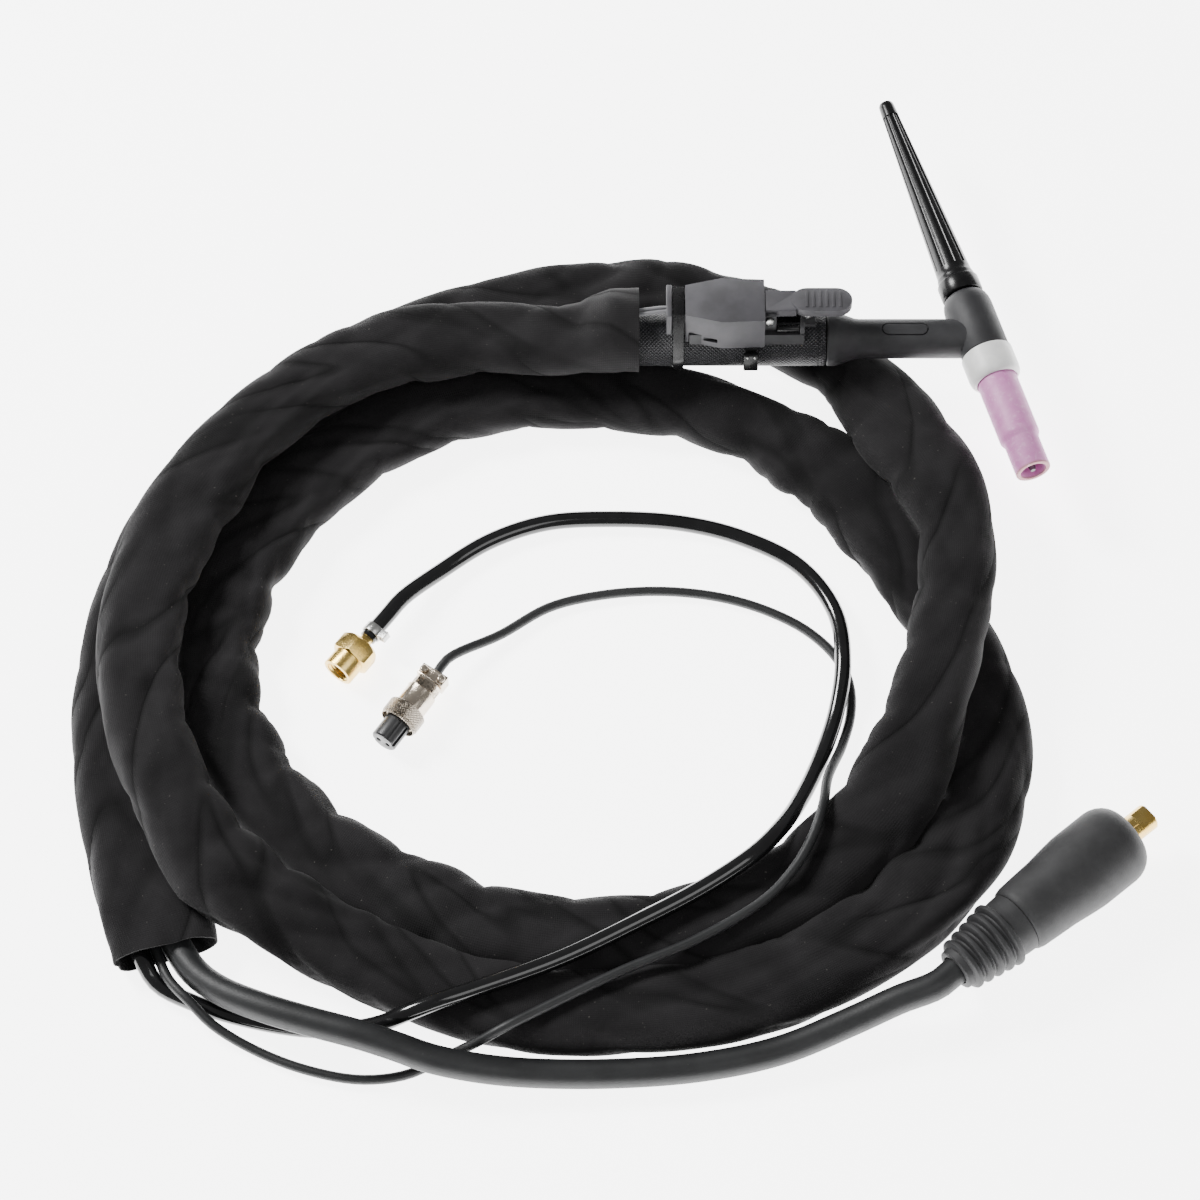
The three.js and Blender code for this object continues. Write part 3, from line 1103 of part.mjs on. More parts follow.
function controlCableSaddle() {
  const front = SHELL_REAR - GAP;
  const bore = rodX(CONTROL_RADIUS + GAP, SADDLE_REAR - OVERSHOOT, front + OVERSHOOT, FINE);
  const clamp = block(SADDLE_REAR, front, -6.4, 6.4, -3.6, 3.6);
  const screwRoom = [1, -1].map((side) => rod(1.1, -5, 5, 12)
    .translate((front + SADDLE_REAR) / 2, side * SADDLE_SCREW_SPREAD, 0));
  return piece('control_cable_saddle', cut(clamp, bore, ...screwRoom), 'nickel');
}

function controlSaddleScrew(name, side) {
  const x = (SHELL_REAR - GAP + SADDLE_REAR) / 2;
  const head = 3.6 + GAP;
  const shank = 0.8;
  const screw = turned([
    [0, -3.8], [shank, -3.8], [shank, head], [1.8, head], [1.8, head + 0.9], [1.2, head + 1.4],
    [0, head + 1.4],
  ], 12);
  return piece(name, screw.translate(x, side * SADDLE_SCREW_SPREAD, 0), 'nickel');
}

function controlGroup() {
  return groupOf(CONTROL_PLACE, CONTROL_YAW, [
    controlInsert(), controlContact('control_contact_left', 1),
    controlContact('control_contact_right', -1), controlCouplingRing(), controlPlugShell(),
    controlCableSaddle(), controlSaddleScrew('control_saddle_screw_left', 1),
    controlSaddleScrew('control_saddle_screw_right', -1),
  ]);
}

// ---------------------------------------------------------------- whole object

const torch = new THREE.Group();
torch.add(torchGroup(), cableSleeve(), powerCable(), powerCableCore(), gasHose(), controlCable(),
  plugGroup(), gasGroup(), controlGroup());

export default torch;
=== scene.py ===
"""Looks for an air-cooled TIG torch with its covered cable set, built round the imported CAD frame."""

import json
import logging
import math
from dataclasses import dataclass, field
from enum import Enum

import bpy
import numpy as np
from mathutils import Matrix, Vector


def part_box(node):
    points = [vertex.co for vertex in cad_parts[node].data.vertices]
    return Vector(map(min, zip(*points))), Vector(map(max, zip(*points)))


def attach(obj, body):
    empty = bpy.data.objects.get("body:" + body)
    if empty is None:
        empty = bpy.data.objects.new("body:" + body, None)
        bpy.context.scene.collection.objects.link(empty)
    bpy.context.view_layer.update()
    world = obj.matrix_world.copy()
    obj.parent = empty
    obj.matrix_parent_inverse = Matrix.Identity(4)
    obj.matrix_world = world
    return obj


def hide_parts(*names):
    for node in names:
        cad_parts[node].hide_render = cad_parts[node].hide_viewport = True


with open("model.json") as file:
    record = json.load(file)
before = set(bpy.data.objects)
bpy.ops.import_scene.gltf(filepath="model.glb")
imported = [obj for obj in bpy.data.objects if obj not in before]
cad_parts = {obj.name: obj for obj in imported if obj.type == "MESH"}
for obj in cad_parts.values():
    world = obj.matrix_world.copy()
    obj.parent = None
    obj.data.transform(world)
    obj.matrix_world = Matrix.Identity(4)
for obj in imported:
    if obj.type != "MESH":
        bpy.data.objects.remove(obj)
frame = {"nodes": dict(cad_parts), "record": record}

LOG = logging.getLogger("torch")
MM = 0.001
SEED = 7
VIEW_TILT = 28.0  # degrees from straight above, towards the near side
Profile = list[tuple[float, float]]
Points = list[tuple[float, float, float]]

# Middle of the cable cover, in metres, from the torch to its open end.
SLEEVE_ROUTE: Points = [
    (0.008, 0.1005, 0.033), (-0.007, 0.1005, 0.0326), (-0.022, 0.102, 0.031),
    (-0.04, 0.1035, 0.0294), (-0.073, 0.1, 0.029), (-0.109, 0.081, 0.029),
    (-0.143, 0.051, 0.029), (-0.166, 0.018, 0.029), (-0.179, -0.018, 0.029),
    (-0.182, -0.051, 0.029), (-0.178, -0.082, 0.029), (-0.169, -0.11, 0.029),
    (-0.156, -0.135, 0.028), (-0.134, -0.156, 0.021), (-0.106, -0.174, 0.0125),
    (-0.072, -0.191, 0.0093), (-0.041, -0.203, 0.0093), (-0.008, -0.21, 0.0093),
    (0.031, -0.21, 0.0093), (0.071, -0.204, 0.0093), (0.112, -0.188, 0.0093),
    (0.148, -0.162, 0.0093), (0.171, -0.132, 0.0093), (0.181, -0.101, 0.0093),
    (0.18, -0.07, 0.0093), (0.168, -0.036, 0.0093), (0.152, -0.007, 0.0093),
    (0.136, 0.017, 0.0093), (0.115, 0.042, 0.0093), (0.088, 0.065, 0.0093),
    (0.055, 0.08, 0.0093), (0.015, 0.086, 0.0093), (-0.025, 0.085, 0.0093),
    (-0.059, 0.076, 0.0093), (-0.089, 0.059, 0.0093), (-0.115, 0.035, 0.0093),
    (-0.135, 0.006, 0.0093), (-0.147, -0.028, 0.0093), (-0.147, -0.065, 0.0093),
    (-0.134, -0.098, 0.0093), (-0.112, -0.125, 0.0093), (-0.081, -0.148, 0.0093),
    (-0.047, -0.164, 0.0093), (-0.01, -0.173, 0.0093), (0.031, -0.173, 0.0093),
    (0.066, -0.165, 0.01), (0.097, -0.148, 0.01), (0.125, -0.124, 0.014),
    (0.141, -0.101, 0.022), (0.154, -0.073, 0.029), (0.164, -0.037, 0.029),
    (0.168, -0.004, 0.029), (0.164, 0.029, 0.0286), (0.149, 0.063, 0.0205),
    (0.125, 0.097, 0.0106), (0.091, 0.122, 0.0093), (0.055, 0.135, 0.0093),
    (0.017, 0.137, 0.0093), (-0.019, 0.132, 0.0093), (-0.056, 0.12, 0.0093),
    (-0.095, 0.1, 0.0093), (-0.131, 0.073, 0.0093), (-0.159, 0.042, 0.0093),
    (-0.18, 0.003, 0.0093), (-0.191, -0.039, 0.0093), (-0.193, -0.079, 0.0093),
    (-0.188, -0.117, 0.0093), (-0.179, -0.153, 0.0093), (-0.167, -0.183, 0.0093),
]
# Each cable in the open, from the cover's end towards its plug.
POWER_ROUTE: Points = [
    (-0.152, -0.192, 0.0105), (-0.141, -0.201, 0.013), (-0.125, -0.209, 0.016),
    (-0.106, -0.216, 0.018), (-0.083, -0.223, 0.019), (-0.069, -0.227, 0.017),
    (-0.055, -0.231, 0.0138), (-0.038, -0.234, 0.0116), (-0.018, -0.235, 0.008),
    (0.017, -0.235, 0.0064), (0.056, -0.232, 0.0064), (0.089, -0.225, 0.0074),
    (0.118, -0.214, 0.0115), (0.138, -0.206, 0.016),
]
HOSE_ROUTE: Points = [
    (-0.168, -0.195, 0.0055), (-0.152, -0.203, 0.0041), (-0.134, -0.209, 0.0041),
    (-0.109, -0.214, 0.0041), (-0.092, -0.215, 0.0052), (-0.082, -0.215, 0.008),
    (-0.073, -0.215, 0.0135), (-0.065, -0.214, 0.0198), (-0.052, -0.21, 0.0229),
    (-0.038, -0.205, 0.0229), (-0.002, -0.191, 0.0229), (0.031, -0.174, 0.0229),
    (0.056, -0.16, 0.0233), (0.078, -0.145, 0.0246), (0.089, -0.132, 0.0205),
    (0.099, -0.114, 0.012), (0.109, -0.09, 0.006), (0.116, -0.068, 0.006),
    (0.119, -0.047, 0.0093), (0.116, -0.02, 0.006), (0.101, 0.003, 0.0041),
    (0.076, 0.017, 0.0041), (0.05, 0.024, 0.0041), (0.019, 0.026, 0.0041),
    (-0.009, 0.024, 0.0041), (-0.033, 0.015, 0.0041), (-0.055, -0.001, 0.005),
]
CONTROL_ROUTE: Points = [
    (-0.163, -0.195, 0.0104), (-0.154, -0.205, 0.0112), (-0.145, -0.213, 0.0065),
    (-0.129, -0.222, 0.0026), (-0.108, -0.231, 0.0026), (-0.084, -0.236, 0.0026),
    (-0.065, -0.234, 0.0026), (-0.052, -0.228, 0.0028), (-0.042, -0.225, 0.008),
    (-0.034, -0.224, 0.0155), (-0.025, -0.221, 0.0212), (-0.01, -0.213, 0.0214),
    (0.023, -0.196, 0.0214), (0.056, -0.181, 0.0216), (0.083, -0.164, 0.0222),
    (0.095, -0.151, 0.0232), (0.103, -0.137, 0.024), (0.108, -0.122, 0.0235),
    (0.111, -0.104, 0.0148), (0.118, -0.084, 0.004), (0.122, -0.069, 0.0026),
    (0.122, -0.055, 0.0026), (0.117, -0.042, 0.0026), (0.105, -0.029, 0.0026),
    (0.088, -0.019, 0.0026), (0.067, -0.012, 0.0026), (0.041, -0.009, 0.0026),
    (0.015, -0.011, 0.0026), (-0.007, -0.017, 0.0028), (-0.028, -0.031, 0.004),
]


# ------------------------------------------------------------------ finishes


class Pattern(Enum):
    """What a finish's surface relief looks like."""

    GRAIN = "grain"
    KNURL = "knurl"
    WEAVE = "weave"
    BRUSHED = "brushed"
    FIRED = "fired"


@dataclass(frozen=True)
class Finish:
    """One real material and how its surface looks.

    Sizes are in millimetres; colours are sRGB hex.
    """

    title: str
    colour: str
    mottle: str
    roughness: float
    metallic: float = 0.0
    pattern: Pattern = Pattern.GRAIN
    mottle_mm: float = 9.0
    grain_mm: float = 0.5
    relief_mm: float = 0.05
    pitch_mm: float = 1.2
    coat: float = 0.0
    sheen: float = 0.0
    speck: float = 0.0
    wrinkle: float = 0.0
    shine: float = 0.5


class Finishes:
    """Every finish on the torch, named by its record slot."""

    moulding = Finish("moulded_polyamide", "#28282a", "#313133", 0.58, relief_mm=0.04, grain_mm=0.45)
    knurled_plastic = Finish(
        "knurled_polyamide", "#3a3a3d", "#464649", 0.5, pattern=Pattern.KNURL,
        relief_mm=0.8, pitch_mm=1.7,
    )
    switch_plastic = Finish("switch_abs", "#434245", "#4d4c50", 0.54, relief_mm=0.03, grain_mm=0.4)
    cap_plastic = Finish(
        "gloss_phenolic", "#0e0e0f", "#151516", 0.27, relief_mm=0.01, grain_mm=2.5, shine=0.35
    )
    ptfe = Finish("ptfe", "#ececea", "#f6f6f4", 0.42, relief_mm=0.02, mottle_mm=4.0)
    alumina = Finish(
        "pink_alumina", "#cf80bb", "#d993c6", 0.5, pattern=Pattern.FIRED, relief_mm=0.03,
        mottle_mm=5.0,
    )
    tungsten = Finish("ground_tungsten", "#4a494b", "#5c5b5d", 0.4, 1.0, Pattern.BRUSHED)
    brass = Finish("turned_brass", "#d6b25e", "#e2c47a", 0.26, 1.0, Pattern.BRUSHED)
    copper = Finish("drawn_copper", "#b8734a", "#c98759", 0.34, 1.0, Pattern.BRUSHED)
    nickel = Finish("nickel_plate", "#cabca9", "#d8ccbc", 0.24, 1.0, Pattern.BRUSHED)
    knurled_nickel = Finish(
        "knurled_nickel_plate", "#c9bba8", "#d8ccbc", 0.27, 1.0, Pattern.KNURL,
        relief_mm=0.3, pitch_mm=1.1,
    )
    steel = Finish("zinc_plated_steel", "#b0b0ae", "#c2c2c0", 0.3, 1.0, Pattern.BRUSHED)
    rubber = Finish("moulded_rubber", "#262627", "#303031", 0.62, relief_mm=0.06, grain_mm=0.7)
    cable_rubber = Finish(
        "cable_rubber", "#161718", "#1f2021", 0.52, relief_mm=0.07, grain_mm=0.9, speck=0.1
    )
    hose_vinyl = Finish(
        "gloss_vinyl", "#0c0c0d", "#141415", 0.15, relief_mm=0.02, grain_mm=3.0, coat=0.3
    )
    lead_vinyl = Finish("lead_vinyl", "#77777a", "#858588", 0.42, relief_mm=0.02)
    canvas = Finish(
        "woven_canvas", "#1b1a1b", "#252425", 0.92, pattern=Pattern.WEAVE, relief_mm=0.1,
        pitch_mm=0.9, mottle_mm=26.0, sheen=0.05, speck=0.3,
        wrinkle=110.0, shine=0.2,
    )
    insert_plastic = Finish("insert_phenolic", "#29292a", "#333334", 0.36, relief_mm=0.02)


def linear(code: str) -> tuple[float, float, float, float]:
    """Turns an sRGB hex code into the linear colour a shader takes.

    Args:
        code: The colour as "#rrggbb".

    Returns:
        Red, green, blue and alpha, linear.
    """
    channels = [int(code[i : i + 2], 16) / 255 for i in (1, 3, 5)]
    out = [c / 12.92 if c <= 0.04045 else ((c + 0.055) / 1.055) ** 2.4 for c in channels]
    return (out[0], out[1], out[2], 1.0)


class MaterialMaker:
    """Builds one procedural material from a finish.

    Attributes:
        finish: The finish to build.
        tree: The material's node tree.
    """

    made: dict[str, bpy.types.Material] = {}

    def __init__(self, finish: Finish) -> None:
        """Args: finish: The finish to build."""
        self.finish = finish
        self.material = bpy.data.materials.new(finish.title)
        self.material.use_nodes = True
        self.tree = self.material.node_tree
        self.shader = next(n for n in self.tree.nodes if n.type == "BSDF_PRINCIPLED")

    @classmethod
    def get(cls, finish: Finish) -> bpy.types.Material:
        """Gives the material of a finish, made once.

        Args:
            finish: The finish.

        Returns:
            Its material.
        """
        if finish.title not in cls.made:
            cls.made[finish.title] = cls(finish).build()
        return cls.made[finish.title]

    def node(self, kind: str, **settings: object) -> bpy.types.Node:
        """Adds a node and sets its properties.

        Args:
            kind: The node's type name.
            settings: Properties, or input values by socket name with "in_" before it.

        Returns:
            The node.
        """
        new = self.tree.nodes.new(kind)
        for key, value in settings.items():
            if key.startswith("in_"):
                new.inputs[key[3:].replace("_", " ")].default_value = value
            else:
                setattr(new, key, value)
        return new

    def link(self, source: bpy.types.NodeSocket, target: bpy.types.NodeSocket) -> None:
        """Joins two sockets.

        Args:
            source: The output.
            target: The input.
        """
        self.tree.links.new(source, target)

    def maths(self, operation: str, *values: object) -> bpy.types.NodeSocket:
        """Adds a maths node.

        Args:
            operation: The node's operation.
            values: Its inputs, each a number or an output socket.

        Returns:
            Its output socket.
        """
        new = self.node("ShaderNodeMath", operation=operation)
        for slot, value in enumerate(values):
            if isinstance(value, (int, float)):
                new.inputs[slot].default_value = value
            else:
                self.link(value, new.inputs[slot])
        return new.outputs[0]

    def noise(self, size_mm: float, detail: float = 3.0) -> bpy.types.NodeSocket:
        """Adds noise in object space.

        Args:
            size_mm: The size of its lumps.
            detail: Its octaves.

        Returns:
            Its value.
        """
        new = self.node("ShaderNodeTexNoise", in_Scale=1000 / size_mm, in_Detail=detail)
        coordinates = self.node("ShaderNodeTexCoord")
        self.link(coordinates.outputs["Object"], new.inputs["Vector"])
        return new.outputs[0]

    def across_and_along(self) -> tuple[bpy.types.NodeSocket, bpy.types.NodeSocket]:
        """Reads the surface's unrolled place, in metres.

        Returns:
            The distance round the piece and the distance along it.
        """
        uv = self.node("ShaderNodeUVMap", uv_map="unrolled")
        split = self.node("ShaderNodeSeparateXYZ")
        self.link(uv.outputs[0], split.inputs[0])
        return split.outputs[0], split.outputs[1]

    def wave(self, place: bpy.types.NodeSocket, pitch_mm: float) -> bpy.types.NodeSocket:
        """Adds a ridge that repeats along a place.

        Args:
            place: The place, in metres.
            pitch_mm: The distance between ridges.

        Returns:
            A height from 0 to 1.
        """
        turns = self.maths("MULTIPLY", place, math.pi * 1000 / pitch_mm)
        return self.maths("ABSOLUTE", self.maths("SINE", turns))

    def folds(self) -> bpy.types.NodeSocket:
        """Makes long slanting folds on a cloth's unrolled map.

        Returns:
            A height from 0 in the creases to about 0.3 on the folds.
        """
        across, along = self.across_and_along()
        slant = self.maths("ADD", self.maths("MULTIPLY", across, 40.0),
                           self.maths("MULTIPLY", along, 19.0))
        place = self.node("ShaderNodeCombineXYZ")
        self.link(slant, place.inputs[0])
        self.link(self.maths("MULTIPLY", along, 10.0), place.inputs[1])
        lumps = self.node("ShaderNodeTexNoise", in_Scale=1.0, in_Detail=1.2)
        self.link(place.outputs[0], lumps.inputs["Vector"])
        return self.maths("ABSOLUTE", self.maths("SUBTRACT", lumps.outputs[0], 0.5))

    def height(self) -> bpy.types.NodeSocket:
        """Builds the relief of the finish's pattern.

        Returns:
            A height from 0 to 1.
        """
        finish = self.finish
        if finish.pattern in (Pattern.KNURL, Pattern.WEAVE):
            across, along = self.across_and_along()
            if finish.pattern is Pattern.KNURL:
                one = self.wave(self.maths("ADD", across, along), finish.pitch_mm)
                two = self.wave(self.maths("SUBTRACT", across, along), finish.pitch_mm)
                return self.maths("MINIMUM", one, two)
            one = self.wave(across, finish.pitch_mm)
            two = self.wave(along, finish.pitch_mm)
            thread = self.maths("MULTIPLY", one, two)
            wrinkle = self.maths("MULTIPLY", self.folds(), finish.wrinkle)
            return self.maths("ADD", self.maths("ADD", thread, self.noise(0.8, 2.0)), wrinkle)
        if finish.pattern is Pattern.BRUSHED:
            return self.maths("MULTIPLY", self.noise(0.12, 2.0), self.noise(1.4, 3.0))
        return self.noise(finish.grain_mm, 4.0)

    def scorched(self, colour: bpy.types.NodeSocket) -> bpy.types.NodeSocket:
        """Adds a faint brown edge at the mouth and pale dust.

        Args:
            colour: The fired colour.

        Returns:
            The colour with the marks.
        """
        _, along = self.across_and_along()
        near = self.node("ShaderNodeMapRange", interpolation_type="SMOOTHSTEP")
        near.inputs["From Min"].default_value = 0.0014
        near.inputs["From Max"].default_value = 0.0
        self.link(along, near.inputs["Value"])
        amount = self.maths("MULTIPLY", near.outputs[0], 0.8)
        colour = self.mixed(amount, colour, linear("#a87868"))
        dust = self.node("ShaderNodeMapRange")
        dust.inputs["From Min"].default_value = 0.55
        dust.inputs["From Max"].default_value = 0.75
        self.link(self.noise(1.6, 3.0), dust.inputs["Value"])
        pale = self.maths("MULTIPLY", dust.outputs[0], 0.35)
        return self.mixed(pale, colour, linear("#f0d2e6"))

    def mixed(self, amount: bpy.types.NodeSocket, first: object, second: object) -> object:
        """Mixes two colours.

        Args:
            amount: How much of the second.
            first: A colour or a socket.
            second: A colour or a socket.

        Returns:
            The mixed colour's socket.
        """
        mix = self.node("ShaderNodeMix", data_type="RGBA")
        self.link(amount, mix.inputs["Factor"])
        for slot, value in ((6, first), (7, second)):
            if isinstance(value, tuple):
                mix.inputs[slot].default_value = value
            else:
                self.link(value, mix.inputs[slot])
        return mix.outputs[2]

    def build(self) -> bpy.types.Material:
        """Wires the finish's colour, with painted shade in its grooves and creases, its roughness and
        relief.

        Returns:
            The material.
        """
        finish, shader = self.finish, self.shader
        blend = self.node("ShaderNodeMapRange")
        blend.inputs["From Min"].default_value = 0.35
        blend.inputs["From Max"].default_value = 0.65
        self.link(self.noise(finish.mottle_mm, 4.0), blend.inputs["Value"])
        colour = self.mixed(blend.outputs[0], linear(finish.colour), linear(finish.mottle))
        height = self.height()
        # Painted shade: the knurl's grooves and the gaps between the canvas threads are darkened
        # towards near black, standing in for the shade that falls in them.
        if finish.pattern in (Pattern.WEAVE, Pattern.KNURL):
            groove_shade = self.node("ShaderNodeMapRange")
            knurled = finish.pattern is Pattern.KNURL
            groove_shade.inputs["To Min"].default_value = 0.8 if knurled else 0.3
            groove_shade.inputs["To Max"].default_value = 0.0
            self.link(height, groove_shade.inputs["Value"])
            colour = self.mixed(groove_shade.outputs[0], colour, linear("#0b0b0c"))
        # Painted shade: the canvas's fold creases are darkened towards near black, standing in for the
        # shade that falls in them.
        if finish.wrinkle:
            crease_shade = self.node("ShaderNodeMapRange", interpolation_type="SMOOTHSTEP")
            crease_shade.inputs["From Max"].default_value = 0.055
            crease_shade.inputs["To Min"].default_value = 0.6
            crease_shade.inputs["To Max"].default_value = 0.0
            self.link(self.folds(), crease_shade.inputs["Value"])
            colour = self.mixed(crease_shade.outputs[0], colour, linear("#070707"))
        if finish.pattern is Pattern.FIRED:
            colour = self.scorched(colour)
        if finish.speck:
            lint = self.node("ShaderNodeMapRange")
            lint.inputs["From Min"].default_value = 0.76
            lint.inputs["From Max"].default_value = 0.8
            self.link(self.noise(1.3, 1.0), lint.inputs["Value"])
            amount = self.maths("MULTIPLY", lint.outputs[0], finish.speck)
            colour = self.mixed(amount, colour, linear("#77736e"))
        self.link(colour, shader.inputs["Base Color"])
        rough = self.node("ShaderNodeMapRange")
        rough.inputs["To Min"].default_value = max(0.04, finish.roughness - 0.07)
        rough.inputs["To Max"].default_value = min(1.0, finish.roughness + 0.07)
        self.link(self.noise(finish.mottle_mm / 3, 3.0), rough.inputs["Value"])
        self.link(rough.outputs[0], shader.inputs["Roughness"])
        bump = self.node("ShaderNodeBump", in_Strength=1.0, in_Distance=finish.relief_mm * MM)
        self.link(height, bump.inputs["Height"])
        self.link(bump.outputs[0], shader.inputs["Normal"])
        shader.inputs["Metallic"].default_value = finish.metallic
        shader.inputs["Specular IOR Level"].default_value = finish.shine
        shader.inputs["Coat Weight"].default_value = finish.coat
        shader.inputs["Sheen Weight"].default_value = finish.sheen
        return self.material


# ------------------------------------------------------------------ modelling helpers


def only(obj: bpy.types.Object) -> None:
    """Leaves one object selected and active.

    Args:
        obj: The object.
    """
    bpy.ops.object.select_all(action="DESELECT")
    obj.select_set(True)
    bpy.context.view_layer.objects.active = obj


def tidy(obj: bpy.types.Object) -> None:
    """Welds an object's doubles and turns its faces outward.

    Args:
        obj: The mesh object.
    """
    only(obj)
    bpy.ops.object.mode_set(mode="EDIT")
    bpy.ops.mesh.select_all(action="SELECT")
    bpy.ops.mesh.remove_doubles(threshold=1e-6)
    bpy.ops.mesh.normals_make_consistent(inside=False)
    bpy.ops.object.mode_set(mode="OBJECT")


def mesh_object(title: str, points: list, edges: list, faces: list) -> bpy.types.Object:
    """Makes a linked mesh object.

    Args:
        title: Its name.
        points: Its vertices.
        edges: Its edges, or none when faces are given.
        faces: Its faces.

    Returns:
        The object.
    """
    mesh = bpy.data.meshes.new(title)
    mesh.from_pydata(points, edges, faces)
    mesh.update()
    obj = bpy.data.objects.new(title, mesh)
    bpy.context.scene.collection.objects.link(obj)
    return obj


def bevelled(obj: bpy.types.Object, width_mm: float, segments: int = 2) -> None:
    """Rounds an object's sharp edges for good.

    Args:
        obj: The mesh object.
        width_mm: The width of the rounding.
        segments: How many facets it gets.
    """
    only(obj)
    bpy.ops.object.modifier_add(type="BEVEL")
    bevel = obj.modifiers[-1]
    bevel.width = width_mm * MM
    bevel.segments = segments
    bevel.limit_method = "ANGLE"
    bevel.angle_limit = math.radians(38)
    bevel.use_clamp_overlap = True
    bpy.ops.object.modifier_apply(modifier=bevel.name)


def smooth(obj: bpy.types.Object, degrees: float = 36) -> None:
    """Shades an object smooth except over its sharp edges.

    Args:
        obj: The mesh object.
        degrees: The sharpest smooth edge.
    """
    only(obj)
    bpy.ops.object.shade_smooth_by_angle(angle=math.radians(degrees))


def even_shading(obj: bpy.types.Object) -> None:
    """Weighs an object's shading by face area, so that a cut leaves no smudges.

    Args:
        obj: The mesh object.
    """
    only(obj)
    bpy.ops.object.modifier_add(type="WEIGHTED_NORMAL")
    weighing = obj.modifiers[-1]
    weighing.keep_sharp = True
    bpy.ops.object.modifier_apply(modifier=weighing.name)


def cut_away(obj: bpy.types.Object, tools: list[bpy.types.Object]) -> None:
    """Cuts tools out of an object and deletes them.

    Args:
        obj: The mesh object.
        tools: The shapes to cut away.
    """
    for tool in tools:
        only(obj)
        bpy.ops.object.modifier_add(type="BOOLEAN")
        boolean = obj.modifiers[-1]
        boolean.operation = "DIFFERENCE"
        boolean.solver = "EXACT"
        boolean.object = tool
        bpy.ops.object.modifier_apply(modifier=boolean.name)
        bpy.data.objects.remove(tool)


@dataclass(frozen=True)
class Place:
    """A local frame: its origin in metres, and where its X and Z axes point."""

    origin: Vector
    along: Vector
    up: Vector = field(default_factory=lambda: Vector((0, 0, 1)))

    def matrix(self) -> Matrix:
        """Gives the frame's matrix.

        Returns:
            The matrix from local to row coordinates.
        """
        x = self.along.normalized()
        y = self.up.cross(x).normalized()
        turn = Matrix((x, y, x.cross(y))).transposed().to_4x4()
        return Matrix.Translation(self.origin) @ turn


def settle(obj: bpy.types.Object, place: Place) -> None:
    """Moves an object into its place and leaves it at the origin, unturned.

    Args:
        obj: The mesh object, made in local coordinates.
        place: Its local frame.
    """
    obj.matrix_world = place.matrix()
    only(obj)
    bpy.ops.object.transform_apply(location=True, rotation=True, scale=True)


def spun(
    title: str, profile: Profile, place: Place, facets: int = 64, bevel_mm: float = 0.0
) -> bpy.types.Object:
    """Spins a profile about the local X axis.

    Args:
        title: The object's name.
        profile: Points of (distance along X, radius), in millimetres.
        place: The local frame.
        facets: How many facets go round.
        bevel_mm: The width of rounding on its sharp edges.

    Returns:
        The object, in place, with its unrolled map.
    """
    points = [(x * MM, 0.0, radius * MM) for x, radius in profile]
    edges = [(i, i + 1) for i in range(len(points) - 1)]
    obj = mesh_object(title, points, edges, [])
    only(obj)
    bpy.ops.object.mode_set(mode="EDIT")
    bpy.ops.mesh.select_all(action="SELECT")
    bpy.ops.mesh.spin(steps=facets, angle=math.tau, center=(0, 0, 0), axis=(1, 0, 0))
    bpy.ops.object.mode_set(mode="OBJECT")
    tidy(obj)
    if bevel_mm:
        bevelled(obj, bevel_mm)
    unroll(obj)
    smooth(obj)
    settle(obj, place)
    return obj


def unroll(obj: bpy.types.Object) -> None:
    """Gives a turned object a map of its surface, in metres, about local X.

    Args:
        obj: The mesh object, in local coordinates.
    """
    mesh = obj.data
    radius = max(math.hypot(v.co.y, v.co.z) for v in mesh.vertices)
    pitches = max(1, round(math.tau * radius / (1.7 * MM)))
    reach = pitches * 1.7 * MM
    layer = mesh.uv_layers.new(name="unrolled")
    for face in mesh.polygons:
        angles = [math.atan2(mesh.vertices[v].co.y, mesh.vertices[v].co.z) for v in face.vertices]
        wraps = max(angles) - min(angles) > math.pi
        for loop, vertex, angle in zip(face.loop_indices, face.vertices, angles):
            turn = angle + math.tau if wraps and angle < 0 else angle
            layer.data[loop].uv = (turn / math.tau * reach, mesh.vertices[vertex].co.x)


def cad_copy(node: str, title: str, bevel_mm: float, degrees: float = 36) -> bpy.types.Object:
    """Copies a CAD node's shape, with its edges rounded.

    Args:
        node: The CAD node.
        title: The copy's name.
        bevel_mm: The width of the rounding.
        degrees: The sharpest smooth edge.

    Returns:
        The copy.
    """
    source = frame["nodes"][node]
    obj = bpy.data.objects.new(title, source.data.copy())
    bpy.context.scene.collection.objects.link(obj)
    obj.data.materials.clear()
    tidy(obj)
    bpy.ops.object.mode_set(mode="EDIT")
    bpy.ops.mesh.select_all(action="SELECT")
    bpy.ops.mesh.dissolve_limited(angle_limit=math.radians(1))
    bpy.ops.object.mode_set(mode="OBJECT")
    bevelled(obj, bevel_mm)
    smooth(obj, degrees)
    return obj


def finished(
    obj: bpy.types.Object, finish: Finish, body: str = "torch", replaces: tuple[str, ...] = ()
) -> bpy.types.Object:
    """Gives a piece its material and its body, and hides the CAD nodes that it stands for.

    Args:
        obj: The piece.
        finish: Its finish.
        body: The CAD body that it moves with.
        replaces: The CAD nodes that it replaces.

    Returns:
        The piece.
    """
    obj.data.materials.clear()
    obj.data.materials.append(MaterialMaker.get(finish))
    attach(obj, body)
    if replaces:
        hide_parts(*replaces)
    LOG.info("%s: %s on %s", obj.name, finish.title, body)
    return obj


def joint(title: str) -> dict:
    """Finds a joint in the record.

    Args:
        title: The joint's name.

    Returns:
        The joint.
    """
    return next(j for j in frame["record"]["behaviour"]["joints"] if j["name"] == title)


def mount(title: str) -> dict:
    """Finds a mount in the record.

    Args:
        title: The mount's name.

    Returns:
        The mount.
    """
    return next(m for m in frame["record"]["mounts"] if m["name"] == title)


# ------------------------------------------------------------------ routes


